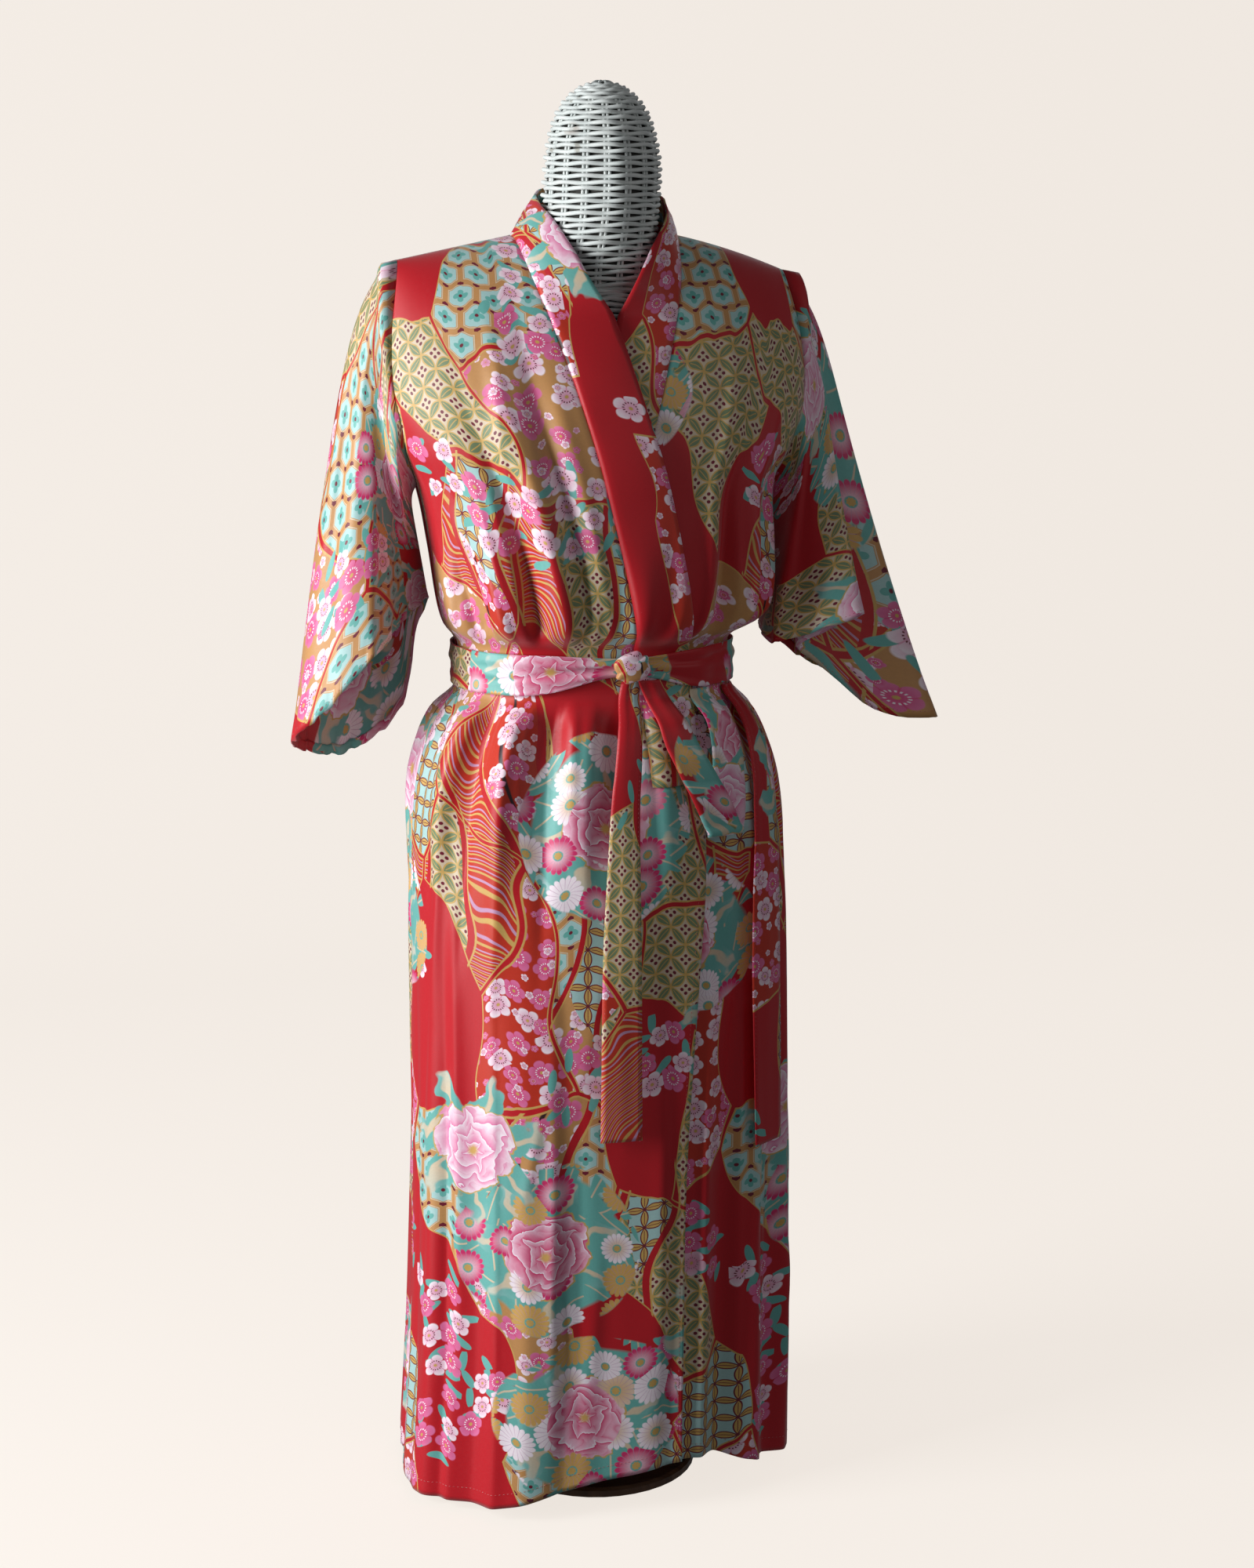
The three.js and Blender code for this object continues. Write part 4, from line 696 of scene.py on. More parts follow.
    # fine plain weave with a little slub
    threads = 2 * math.pi / plan["weave"]
    weave = (u * threads).sine() * (v * threads).sine()
    slub = noiseOf(u * 0.2, v, 900, 2.0)
    feed(tree, shader, {
        "Base Color": cloth, "Normal": bumped(tree, weave * 0.6 + slub, 0.12, 0.0004),
        "Roughness": (slub - 0.5) * 0.25 + 0.46, "Sheen Weight": 0.25, "Sheen Roughness": 0.45,
        "Specular IOR Level": 0.42})
    print("print has", len(tree.nodes), "nodes")
    return material


robePrint = printedCloth()


def placeOf(tree):
    place = addNode(tree, "ShaderNodeTexCoord", {}).outputs["Object"]
    return splitOf(tree, place, "ShaderNodeSeparateXYZ"), place


def caneMaterial():
    # old white-grey paint on cane, thin in places, with one bare spot
    material, tree, shader = newMaterial("paintedCane")
    (x, y, z), place = placeOf(tree)
    worn = addNode(tree, "ShaderNodeTexNoise", {"Scale": 55, "Detail": 4, "Vector": place}).outputs[0]
    grain = Wire(tree, worn)
    colour = paint(grain.over(0.5, 0.5), srgb(196, 202, 200), srgb(222, 225, 222))
    colour = paint(grain.over(0.70, 0.05) * 0.7, srgb(150, 146, 134), colour)
    spot = lengthOf(lengthOf(x + 0.036, y + 0.047), z - 1.434) + (grain - 0.5) * 0.02
    colour = paint(spot.below(0.010, 0.008) * 0.8, srgb(120, 84, 52), colour)
    feed(tree, shader, {"Base Color": colour, "Roughness": 0.55, "Normal": bumped(tree, worn, 0.3, 0.0006)})
    return material


def bodyMaterial():
    # the plain body under the canes: painted shade, dark between the rows, with a woven relief lower down whose
    # low places are painted dark as shade
    material, tree, shader = newMaterial("wovenBody")
    x, y, z = placeOf(tree)[0]
    rows = (z * (2 * math.pi / 0.0098)).sine() * (angleOf(x, y) * 24).sine()
    relief = rows * 0.5 + 0.5
    # painted shade: above 1.14 m the body is all dark brown-grey for the shadowed hollow seen between the canes;
    # below it the relief's low places are painted dark
    light = z.below(1.14, 0.04)
    colour = paint(relief.over(0.35, 0.5) * light, srgb(190, 192, 186), srgb(54, 52, 47))
    feed(tree, shader, {"Base Color": colour, "Roughness": 0.7, "Normal": bumped(tree, relief, 0.6, 0.002)})
    return material


def streakedMaterial(name, streaks, light, dark, roughness):
    # a plain material of two tones; streaks turns a place into the noise that mixes them
    material, tree, shader = newMaterial(name)
    tone = streaks(*placeOf(tree)[0]).over(0.5, 0.4)
    feed(tree, shader, {"Base Color": paint(tone, srgb(*light), srgb(*dark)), "Roughness": roughness})
    return material


paintedCane, wovenBody = caneMaterial(), bodyMaterial()
standWood = streakedMaterial("standWood", lambda x, y, z: noiseOf(x * 6 + y * 2, y * 60 + z * 3, 3.0, 4.0),
                             (112, 78, 52), (74, 48, 32), 0.38)
thread = streakedMaterial("sewingThread", lambda x, y, z: noiseOf(x * 9 + y * 7, z * 9 - y * 5, 60),
                          (214, 150, 150), (176, 58, 62), 0.6)
for node in ("form_post", "form_base"):
    for slot in bpy.data.objects[node].material_slots:
        slot.material = standWood
print("materials made")

frontCloth = {"columns": 112, "bandColumns": 12}
backCloth = {"shoulderColumns": 46, "neckColumns": 30}


def frontGrid(side):
    level = allRows[:, None]
    free, seam = (side * turnAt(side * read(wrapLine, line, level), level) for line in ("free", "seam"))
    edge = sideTurn(level)
    band = np.arange(frontCloth["bandColumns"])[None, :] / frontCloth["bandColumns"]
    rest = np.linspace(0, 1, frontCloth["columns"] + 1)[None, :]
    ownTurn = np.concatenate([mix(free, seam, band), mix(seam, edge, rest)], 1)
    # the cloth dips along the side seam, and along the collar seam while the band lasts
    reach = degreeReach(level)
    lift = liftOf(side, ownTurn, level) - dipAt((edge - ownTurn) * reach)
    lift = lift - (level >= robe["bandEnd"] - 1) * dipAt((seam - ownTurn) * reach)
    lift = lift - robe["hemTuck"] * turnedUp[:, None]
    grid = bodyPoint(side * ownTurn, np.broadcast_to(level, ownTurn.shape), lift)
    cut = bodyCut(side * ownTurn, grid)
    return (grid[:, ::-1], cut[:, ::-1]) if side < 0 else (grid, cut)


def frontKeep(side):
    cols = frontCloth["columns"] + frontCloth["bandColumns"]
    c = np.arange(cols)
    fromFree = cols - 1 - c if side < 0 else c
    band = (fromFree < frontCloth["bandColumns"])[None, :] & (allRows >= robe["bandEnd"] - 0.01)[:, None]
    band[: len(hemRows)] = False
    return ~band


fronts = {}
for side, name, offset in ((-1, "front_right", 0.37), (1, "front_left", 0.0)):
    grid, cut = frontGrid(side)
    keep = frontKeep(side)
    fronts[side] = grid
    obj = clothPiece(name + "_cloth", grid, cut + [offset, 0.0], robePrint, robe["cloth"], [name], keep)
    area = areaOf(grid, keep)

level = allRows[:, None]
edge = sideTurn(level)
neck = turnAt(robe["neckHalf"], level)
shares = np.linspace(0, 1, backCloth["shoulderColumns"] + 1)
backTurn = np.concatenate([
    mix(edge, neck, shares[None, :-1]),
    mix(neck, -neck, np.linspace(0, 1, backCloth["neckColumns"] + 1)[None, :-1]),
    mix(-neck, -edge, shares[None, :])], 1)
levels = np.broadcast_to(level, backTurn.shape)
inside = np.maximum(0, 1 - (bodyPoint(backTurn, levels, 0, bodyLevels, False)[..., 0] / robe["neckHalf"]) ** 2)
rise = riseOf(levels) * (1 - robe["backNeckDrop"] * np.sqrt(inside))
lowered = np.where(rise > 0, levelAt(rise), levels)
reach = degreeReach(level)
# the side seams and the seam down the middle of the back
backLift = -dipAt((edge - np.abs(backTurn)) * reach) - dipAt(backTurn * reach)
backLift = backLift - robe["hemTuck"] * turnedUp[:, None]
backGrid = bodyPoint(180 - backTurn, lowered, backLift)
backCut = bodyCut(180 - backTurn, backGrid)
obj = clothPiece("back_cloth", backGrid, backCut, robePrint, robe["cloth"], ["back"])
print("back flat", np.ptp(backCut[..., 0]), np.ptp(backCut[..., 1]), "area", areaOf(backGrid))
areaOf(backGrid)

collar = {
    "standFrom": 1241, "roll": 3, "headShift": 9, "blend": 12, "cutWide": 0.06, "shownWide": 60, "puff": 0.55,
    "bulge": 0.7, "bulgePower": 0.6, "ripple": 0.5, "rippleLong": 23, "dip": 0.4, "cutAt": [1.63, 0.21],
}


def smoothPath(keys, distances):
    # points at given distances along a smooth curve through the keys
    keys = np.asarray(keys, float)
    ends = np.concatenate([[2 * keys[0] - keys[1]], keys, [2 * keys[-1] - keys[-2]]])
    dense = []
    for i in range(1, len(ends) - 2):
        a, b, c, d = ends[i - 1:i + 3]
        before, here, after = (max(np.linalg.norm(q - p) ** 0.5, 1e-4) for p, q in ((a, b), (b, c), (c, d)))
        enter = ((b - a) / before - (c - a) / (before + here) + (c - b) / here) * here
        leave = ((c - b) / here - (d - b) / (here + after) + (d - c) / after) * here
        t = np.linspace(0, 1, 40, endpoint=i == len(ends) - 3)[:, None]
        dense.append(curved(b, c, enter, leave, t))
    dense = np.concatenate(dense)
    along = lengthAlong(dense)
    wanted = np.asarray(distances) * along[-1]
    return np.stack([np.interp(wanted, along, dense[:, k]) for k in range(3)], -1)


def collarGrid():
    bandCols = frontCloth["bandColumns"]
    start = len(hemRows) + int(np.argmin(np.abs(bodyRows - robe["bandEnd"])))
    rightRows = fronts[-1][start:, -(bandCols + 1):]  # from the seam to the free edge
    leftRows = fronts[1][start:, :bandCols + 1][:, ::-1]
    rowLevels = allRows[start:]
    last = int(np.searchsorted(rowLevels, collar["standFrom"], side="right")) - 1
    first = backCloth["shoulderColumns"] + 1
    neckRow = backGrid[-1, first:first + backCloth["neckColumns"] - 1][::-1]
    seam = np.concatenate([rightRows[:, 0], neckRow, leftRows[::-1, 0]])
    total = len(seam)
    a, b = last, total - 1 - last

    def side(sign):
        shift = collar["headShift"] * smooth(1284, 1362, neckEdge["z"])
        return np.stack([sign * neckEdge["out"] + shift, neckEdge["y"], neckEdge["z"]], -1)

    keys = np.concatenate([rightRows[a:a + 1, -1], side(-1), side(1)[:-1][::-1], leftRows[last:last + 1, -1]])
    reach = lengthAlong(seam[a:b + 1])
    free = smoothPath(keys, reach / reach[-1])
    shares = np.linspace(0, 1, bandCols + 1)
    grid = np.zeros((total, bandCols + 1, 3))
    grid[:a + 1] = rightRows[:a + 1]
    grid[b:] = leftRows[::-1][-(total - b):]
    for i in range(a + 1, b):
        span = free[i - a] - seam[i]
        out = unit(np.cross(seam[min(i + 3, total - 1)] - seam[max(i - 3, 0)], span))
        if out @ np.array([seam[i][0], seam[i][1] - 20, 40]) < 0:
            out = -out
        blendIn = min(1, (i - a) / collar["blend"], (b - i) / collar["blend"])
        roll = collar["roll"] * 4 * shares * (1 - shares) * blendIn
        grid[i] = seam[i] + span * shares[:, None] + out * roll[:, None]
    return grid


collarPoints = collarGrid()
acrossCount = collarPoints.shape[1]
collarNormal = gridNormals(collarPoints)
awayFromNeck = collarPoints * [1, 1, 0] + [0, -20, 60]
collarNormal *= np.sign((collarNormal * awayFromNeck).sum(-1).mean())
alongBand = lengthAlong(collarPoints[:, acrossCount // 2])
acrossShare = np.linspace(0, 1, acrossCount)
# the double band lies over the edge of the front and is a little puffed between seam and fold
puff = collar["puff"] + collar["bulge"] * np.sin(np.pi * np.clip(acrossShare, 0.02, 0.98)) ** collar["bulgePower"]
uneven = np.sin(alongBand / collar["rippleLong"] + 1.3 * np.sin(alongBand / 61))
ripple = collar["ripple"] * uneven[:, None] * np.sin(np.pi * acrossShare)[None, :]
bandPush = puff[None, :] + ripple - collar["dip"] * dipAt(acrossShare * collar["shownWide"])[None, :]
collarShown = collarPoints + collarNormal * bandPush[..., None]
collarCut = flatCut(acrossShare[None, :] * collar["cutWide"], alongBand[:, None] * mm)
obj = clothPiece("collar_band_cloth", collarShown, collarCut + collar["cutAt"], robePrint, robe["band"],
                 ["collar_band"])
areaOf(collarShown)
print("body panels and collar made")

sleeveShape = {"wall": 0.9, "lapWall": 0.8, "tuck": 0.7, "underarmSwell": 9, "inPower": 1.6, "room": 4, "ramp": 10,
               "columns": 132, "rows": 80, "hemTurn": 12, "hemWave": 1.3,
               "smallCreases": 26, "smallDepth": 1.2, "lift": 0.2, "downPower": 1.15, "edgeWave": 0.8}
sleeveRight = {"outPower": 0.65, "forePower": 1.5, "swell": 20, "lines": columns("at out y z", [
    (0.0, 166, 54, 956), (0.1, 186, 30, 946), (0.2, 210, 3, 931), (0.25, 222, -24, 922), (0.3, 240, -50, 913),
    (0.35, 262, -44, 888), (0.4, 286, -30, 858), (0.5, 314, 10, 823), (0.62, 300, 84, 796), (0.76, 246, 116, 785),
    (0.9, 188, 98, 836), (0.95, 176, 76, 918)])}
sleeveLeft = {"outPower": 1.05, "forePower": 1.5, "swell": 34, "lines": columns("at out y z", [
    (0.0, 186, 20, 922), (0.1, 174, -60, 914), (0.15, 197, -75, 921), (0.2, 234, -96, 936), (0.25, 264, -92, 945),
    (0.3, 247, -68, 931), (0.35, 206, -60, 911), (0.4, 220, -46, 895), (0.45, 298, -47, 834), (0.5, 367, -39, 823),
    (0.65, 328, 26, 842), (0.83, 248, 56, 875)])}


def roundLoop(lines, side, at):
    keys = lines["at"]
    points = np.stack([side * lines["out"], lines["y"], lines["z"]], -1)
    n = len(keys)
    result = []
    for value in np.asarray(at) % 1.0:
        i = int(np.searchsorted(keys, value, side="right")) - 1
        gap = lambda a, b: ((keys[b % n] - keys[a % n] + 1) % 1) or 1
        span = gap(i, i + 1)
        t = (value - keys[i]) / span
        here, after = points[i], points[(i + 1) % n]
        enter = (after - points[(i - 1) % n]) * span / (span + gap(i - 1, i))
        leave = (points[(i + 2) % n] - here) * span / (span + gap(i + 1, i + 2))
        result.append(curved(here, after, enter, leave, t))
    return np.array(result)


def armholePoints(side, at):
    at = np.asarray(at) % 1.0
    share = np.where(at <= 0.5, at * 2, 2 - at * 2)
    level = bodiceLevel(share)
    turn = sideTurn(level)
    lift = np.where(at <= 0.5, liftOf(side, turn, level), 0)
    turn = np.where(at <= 0.5, side * turn, 180 - side * turn)
    return bodyPoint(turn, level, lift, withNormal=True)


def clearOfBody(point, top):
    # moves a sleeve's points outwards until they clear the robe's body and its folds
    level = np.minimum(point[..., 2], robe["neckPoint"])
    x = point[..., 0] - read(bodyLevels, "shift", level)
    deep = depthAt(bodyLevels, point[..., 1] < 0, level) * np.maximum(narrowingAt(riseOf(level)), 0.1)
    wide = read(bodyLevels, "wide", level)
    sideways, forward = x / wide, -point[..., 1] / deep
    total = np.abs(sideways) ** robe["squareness"] + np.abs(forward) ** robe["squareness"]
    half = robe["squareness"] / 2
    turn = np.degrees(np.arctan2(signedPower(sideways, half), signedPower(forward, half)))
    fall = smooth(0, sleeveShape["ramp"], top - point[..., 2])
    room = mix(sleeveShape["lapWall"] + robe["gap"], sleeveShape["room"], fall)
    room = room + np.maximum(0, foldOut(turn, level))
    scale = np.maximum(1, (1 + room / wide) / np.maximum(total, 1e-6) ** (1 / robe["squareness"]))
    return np.stack([point[..., 0] + x * (scale - 1), point[..., 1] * scale, point[..., 2]], -1)


def sleeveGrid(side, shape, creases, seed):
    cols, rows = sleeveShape["columns"], sleeveShape["rows"]
    at = np.arange(cols) / cols
    point, normal = armholePoints(side, at)
    ahead = armholePoints(side, at + 0.02)[0] - armholePoints(side, at - 0.02)[0]
    openWay = unit(np.cross(ahead, normal)) * side
    start = point + normal * sleeveShape["lift"] - openWay * sleeveShape["tuck"]
    end = roundLoop(shape["lines"], side, at)
    down = (np.linspace(0, 1, rows) ** sleeveShape["downPower"])[:, None]
    outward = (side * (end[:, 0] - start[:, 0]) > 0)[None, :]
    spring = mix(sleeveShape["underarmSwell"], shape["swell"], np.sin(np.pi * at) ** 2)[None, :]
    sprung = spring * (1 - (1 - down) ** 12) * (1 - down) ** 2
    power = np.where(outward, shape["outPower"], sleeveShape["inPower"])
    x = mix(start[None, :, 0], end[None, :, 0], down ** power) + side * sprung
    y = mix(start[None, :, 1], end[None, :, 1], down ** shape["forePower"])
    z = mix(start[None, :, 2], end[None, :, 2], down)
    grid = clearOfBody(np.stack([x, y, z], -1), start[None, :, 2])
    grid[0] = start
    normals = gridNormals(grid, closed=True)
    normals *= np.sign((normals[..., 0] * side).mean())
    # soft creases down the tube, kept off the side that lies along the body
    draw = np.random.default_rng(seed)
    push = np.zeros(grid.shape[:2])

    def crease(centre, drift, along, out, half):
        apart = (at[None, :] - (centre + drift * along) + 0.5) % 1 - 0.5
        return out * np.sin(np.pi * along) * np.exp(-((apart / half) ** 2))

    for centre, drift, high, low, out, half in creases:
        push += crease(centre, drift, np.clip((down - high) / (low - high), 0, 1), out, half)
    for number in range(sleeveShape["smallCreases"]):
        centre, half, high = draw.uniform(0.18, 0.95), draw.uniform(0.012, 0.03), draw.uniform(0, 0.7)
        along = np.clip((down - high) / draw.uniform(0.2, 0.45), 0, 1)
        drift = draw.normal(0, 0.03)
        depth = sleeveShape["smallDepth"]
        push += crease(centre, drift, along, draw.uniform(-depth, depth), half)
    free = smooth(0.1, 0.2, at) * (1 - smooth(0.9, 1.0, at))
    # the narrow hem is sewn by hand, so the cuff's edge waves
    cuffward = smooth(0.9, 1.0, down)
    waves = ((17, 0.8, 0.1), (26, 0.6, 0.4), (41, 0.35, 0.7))
    wave = sum(high * np.sin(2 * np.pi * (count * at + phase)) for count, high, phase in waves)
    push = push * free[None, :] + sleeveShape["hemWave"] * wave[None, :] * cuffward
    grid = grid + normals * push[..., None]
    grid[-1, :, 2] += sleeveShape["edgeWave"] * wave
    # the turned hem inside the cuff
    hemward = unit(grid[-1] - grid[-3])
    inner = [grid[-1] - normals[-1] * 1.5 - hemward * back for back in (0.6, 4, 8, sleeveShape["hemTurn"])]
    return np.concatenate([grid, np.array(inner)])


def sleeveCut(grid, offset):
    # the print's place on the cut sleeve, and the cut's size: its widest round and its longest line
    rings = np.linalg.norm(np.diff(closedRound(grid), axis=1), axis=2).sum(1)
    at = np.arange(grid.shape[1]) / grid.shape[1] * rings.mean()
    steps = np.linalg.norm(np.diff(grid, axis=0), axis=2)
    along = np.concatenate([[0], np.cumsum(steps.mean(1))])
    cut = flatCut(at[None, :] * mm, -along[:, None] * mm) + offset
    return cut, rings.max() * mm, steps.sum(0).max() * mm


rightCreases = [
    (0.36, 0.0, 0.10, 1.0, 5.0, 0.035), (0.43, 0.01, 0.05, 0.95, -3.5, 0.030), (0.56, 0.0, 0.15, 1.05, 3.0, 0.040),
    (0.66, 0.02, 0.1, 0.9, -3.0, 0.045), (0.27, 0.0, 0.2, 1.0, -3.0, 0.030)]
leftCreases = [
    (0.26, 0.0, 0.10, 1.05, 4.0, 0.030), (0.36, 0.0, 0.15, 1.0, -4.0, 0.030), (0.48, 0.0, 0.05, 0.9, 3.0, 0.035),
    (0.60, 0.02, 0.1, 1.0, -3.0, 0.045), (0.74, 0.0, 0.1, 0.9, 3.0, 0.050)]
sleeveGrids = {}
for side, name, shape, creases, seed, offset in (
        (-1, "sleeve_right", sleeveRight, rightCreases, 5, (2.31, 0.44)),
        (1, "sleeve_left", sleeveLeft, leftCreases, 9, (3.07, 0.83))):
    grid = sleeveGrid(side, shape, creases, seed)
    cut, roundWay, longWay = sleeveCut(grid, offset)
    facing = slice(None, None, side)
    sleeveGrids[side] = grid
    obj = clothPiece(name + "_cloth", grid[::-1, facing], cut[::-1, facing], robePrint, sleeveShape["wall"],
                     [name], closed=True)
    area = areaOf(closedRound(grid))
    print(name, "round", round(roundWay, 3), "long", round(longWay, 3), "area", round(area, 3))
print("sleeves made")

sash = {"width": 42, "cut": 0.044, "gather": 0.58, "gap": 0.7, "wall": 2.4, "shown": 1.5, "loopShown": 1.1,
        "standOff": 3.1, "bow": 0.6, "puff": 0.9, "loopTop": 889, "loopRearTop": 875.6, "loopApart": 5,
        "loopRoom": 3.2, "loopBend": 4.1, "loopCrease": 1.2, "loopWave": 0.6, "beltAt": 4.2, "loopAt": 5.3,
        "fadeRight": (32, 62), "fadeLeft": (33, 47)}
knot = {"x": 10, "z": 904, "wide": 34, "tall": 30, "deep": 15, "rows": 40, "columns": 64, "printAt": 5.7,
        "relief": 0.07, "folds": 9, "tuck": 0.10, "tuckAt": 0.25, "tuckHalf": 0.1, "ends": 0.08,
        "faceSquare": 0.85, "deepSquare": 0.8}
# the belt's relief: a ridge along its fold, a groove where two turns part, and puckers; the knot draws it in
belt = {"knotTurn": 3, "knotReach": 20, "ridge": 1.7, "ridgeAt": 0.35, "ridgeHalf": 0.18, "groove": 2.4,
        "grooveHalf": 0.13, "pucker": 0.7, "knotPucker": 1.7, "sway": 2.0, "knotRise": 7, "gain": 0.75,
        "deepest": 1.4}
tail = {"crease": 1.0, "creaseHalf": 0.22, "wave": 0.8, "waveGain": 0.8, "gathers": 1.4, "settle": 6,
        "evenOver": 9}
tailCentre = columns("z turn wide", [(888, 4, 20), (830, 1, 26), (730, -1, 32), (610, -2, 40), (418, -2, 44)])
tailSide = columns("z turn wide", [(873, 60, 24), (830, 53, 32), (770, 47, 36), (670, 44, 42), (570, 43, 44),
                                   (390, 46, 44)])
bowLoop = columns("z turn rear wide", [(889, 10, 35, 24), (868, 13, 34, 27), (830, 15, 33, 36), (785, 20, 30, 42),
                                       (736, 26, 27, 44)])


def wrapLift(turn):
    # the sash lies over two layers of cloth in front
    turn = wrapped(turn)
    over = np.where(turn < 0, 1 - smooth(*sash["fadeRight"], -turn), 1 - smooth(*sash["fadeLeft"], turn))
    return robe["layerLift"] * over


def beltGrid():
    cols, rows = ((300, 20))
    turn = 360 * np.arange(cols) / cols - 180
    near = np.exp(-(((turn - belt["knotTurn"]) / belt["knotReach"]) ** 2))
    half = sash["width"] / 2 * (1 - sash["gather"] * near)
    lift = wrapLift(turn) + (2 * robe["cloth"] + sash["wall"]) / 2 + sash["gap"] + sash["puff"]
    share = np.linspace(-1, 1, rows)[:, None]
    ridgeAway = share - belt["ridgeAt"] + 0.25 * np.sin(np.radians(turn * 2))
    ridge = belt["ridge"] * np.exp(-(ridgeAway / belt["ridgeHalf"]) ** 2)
    part = 0.15 + 0.5 * smooth(0, 70, np.abs(turn - 4)) * np.sign(turn - 4)
    groove = -belt["groove"] * np.exp(-(((share - part[None, :]) / belt["grooveHalf"]) ** 2))
    groove = groove * (0.35 + 0.65 * np.exp(-((turn / 80) ** 2)))
    pucker = (belt["pucker"] + belt["knotPucker"] * near) * np.sin(share * 6.5 + turn[None, :] / 13.0)
    sway = belt["sway"] * np.sin(np.radians(turn * 2 + 40)) * (1 - near)
    point, normal = bodyPoint(turn[None, :] + 0 * share, robe["belt"] + 0 * share, lift[None, :], bodyLevels,
                              False, True)
    point[..., 2] = robe["belt"] + belt["knotRise"] * near + sway[None, :] * 0.5 + share * half[None, :]
    push = np.maximum(-belt["deepest"], belt["gain"] * (ridge + groove + pucker)) * (1 - share**6)
    return point + normal * push[..., None]


def bandCut(points, long, offset):
    # the sash's own place in the cut cloth, across its width and along it
    return flatCut(np.linspace(0, sash["cut"], points.shape[1])[None, :] + offset,
                   np.linspace(0, long, len(points))[:, None])


beltPoints = beltGrid()
ring = closedRound(beltPoints)
beltRound = np.linalg.norm(np.diff(ring, axis=1), axis=2).sum(1).mean() * mm
beltRows, beltCols = beltPoints.shape[:2]
beltCut = flatCut(np.linspace(0, sash["cut"], beltRows)[:, None] + sash["beltAt"],
                  (np.arange(beltCols) / beltCols * beltRound)[None, :])
obj = clothPiece("sash_belt_cloth", beltPoints, beltCut, robePrint, sash["shown"], ["sash_belt"], closed=True)
areaOf(ring)


def hangingRows(table, zs, standOff, column="turn", across=9):
    zs = np.asarray(zs, float)
    turn = read(table, column, zs)
    half = read(table, "wide", zs) / 2
    outermost = np.max([wrapLift(turn + d) for d in (-8, 0, 8)], axis=0)
    centre = bodyPoint(turn, zs, outermost + standOff, bodyLevels, False)
    ahead = bodyPoint(turn + 1, zs, outermost + standOff, bodyLevels, False) - centre
    ahead[:, 2] = 0
    ahead = unit(ahead)
    out = np.stack([ahead[:, 1], -ahead[:, 0], 0 * ahead[:, 0]], -1)
    share = np.linspace(-1, 1, across)
    grid = centre[:, None] + ahead[:, None] * (share[None, :] * half[:, None])[..., None]
    return grid - out[:, None] * (sash["bow"] * share**2)[None, :, None], out


def foldClear(table, zs, column="turn"):
    # how far the folds under a hanging band stand out
    turn = read(table, column, zs)
    near = [foldOut(turn + apart, zs, (mainFolds, drapes)) for apart in (-12, -8, -4, 0, 4, 8, 12)]
    return np.maximum(0, np.max(near, axis=0))


def tailGrid(table, seed):
    steps = 110
    zs = np.linspace(table["z"].max(), table["z"].min(), steps)
    clear = foldClear(table, zs)
    widest = 0.0
    for i in range(steps):
        widest = max(clear[i], min(widest, tail["settle"]))
        clear[i] = widest
    even = tail["evenOver"]
    clear = np.convolve(np.pad(clear, even // 2, mode="edge"), np.ones(even) / even, "valid")
    grid, out = hangingRows(table, zs, sash["standOff"] + clear)
    share = np.linspace(-1, 1, grid.shape[1])
    down = np.linspace(0, 1, steps)
    draw = np.random.default_rng(seed)
    phase = draw.uniform(0, 6, 3)
    # a crease down the middle that opens out, and slow waves towards the free end
    crease = tail["crease"] * np.exp(-((share / tail["creaseHalf"]) ** 2))[None, :] * (1 - 0.6 * down)[:, None]
    wave = tail["wave"] * np.sin(down * 9 + phase[0])[:, None] * np.cos(share * 2.1 + phase[1])[None, :]
    gathers = tail["gathers"] * np.sin(share * 7 + phase[2])[None, :] * np.exp(-down * 7)[:, None]
    return grid + out[:, None] * (crease + wave * tail["waveGain"] + gathers)[..., None]


sashEnds = {}
for name, table, seed, offset in (("sash_tail_centre", tailCentre, 3, 4.5), ("sash_tail_side", tailSide, 4, 4.9)):
    grid = tailGrid(table, seed)
    sashEnds[name] = grid
    long = lengthOfLine(grid[:, 4]) * mm
    cut = bandCut(grid, long, offset)
    obj = clothPiece(name + "_cloth", grid[::-1], cut[::-1], robePrint, sash["shown"], [name])
    areaOf(grid)


def loopGrid():
    steps = 60
    down = np.linspace(0, 1, steps)
    low = bowLoop["z"].min()
    frontZ, rearZ = mix(sash["loopTop"], low, down), mix(sash["loopRearTop"], low, down)
    apart = sash["loopApart"] * smooth(0, 0.35, down) + sash["loopRoom"]
    outer, outWay = hangingRows(bowLoop, frontZ, sash["standOff"] + foldClear(bowLoop, frontZ) + apart)
    inner = hangingRows(bowLoop, rearZ, sash["standOff"] + foldClear(bowLoop, rearZ, "rear"), "rear")[0]
    share = np.linspace(-1, 1, outer.shape[1])
    crease = sash["loopCrease"] * np.sin(share * 5 + 0.6)[None, :] * np.exp(-down * 3.5)[:, None]
    wave = sash["loopWave"] * np.sin(down * 8)[:, None] * np.cos(share * 2)[None, :]
    outer = outer + outWay[:, None] * (crease + wave)[..., None]
    middle, half = (outer[-1] + inner[-1]) / 2, (outer[-1] - inner[-1]) / 2
    bend = [middle - half * math.sin(angle) - np.array([0, 0, sash["loopBend"]]) * math.cos(angle)
            for angle in np.radians([-60, -30, 0, 30, 60])]
    return np.concatenate([outer, np.array(bend), inner[::-1]])


loopPoints = loopGrid()
loopLong = lengthOfLine(loopPoints[:, 4]) * mm
loopCut = bandCut(loopPoints, loopLong, sash["loopAt"])
obj = clothPiece("sash_loop_cloth", loopPoints[::-1], loopCut[::-1], robePrint, sash["loopShown"], ["sash_loop"])
areaOf(loopPoints)


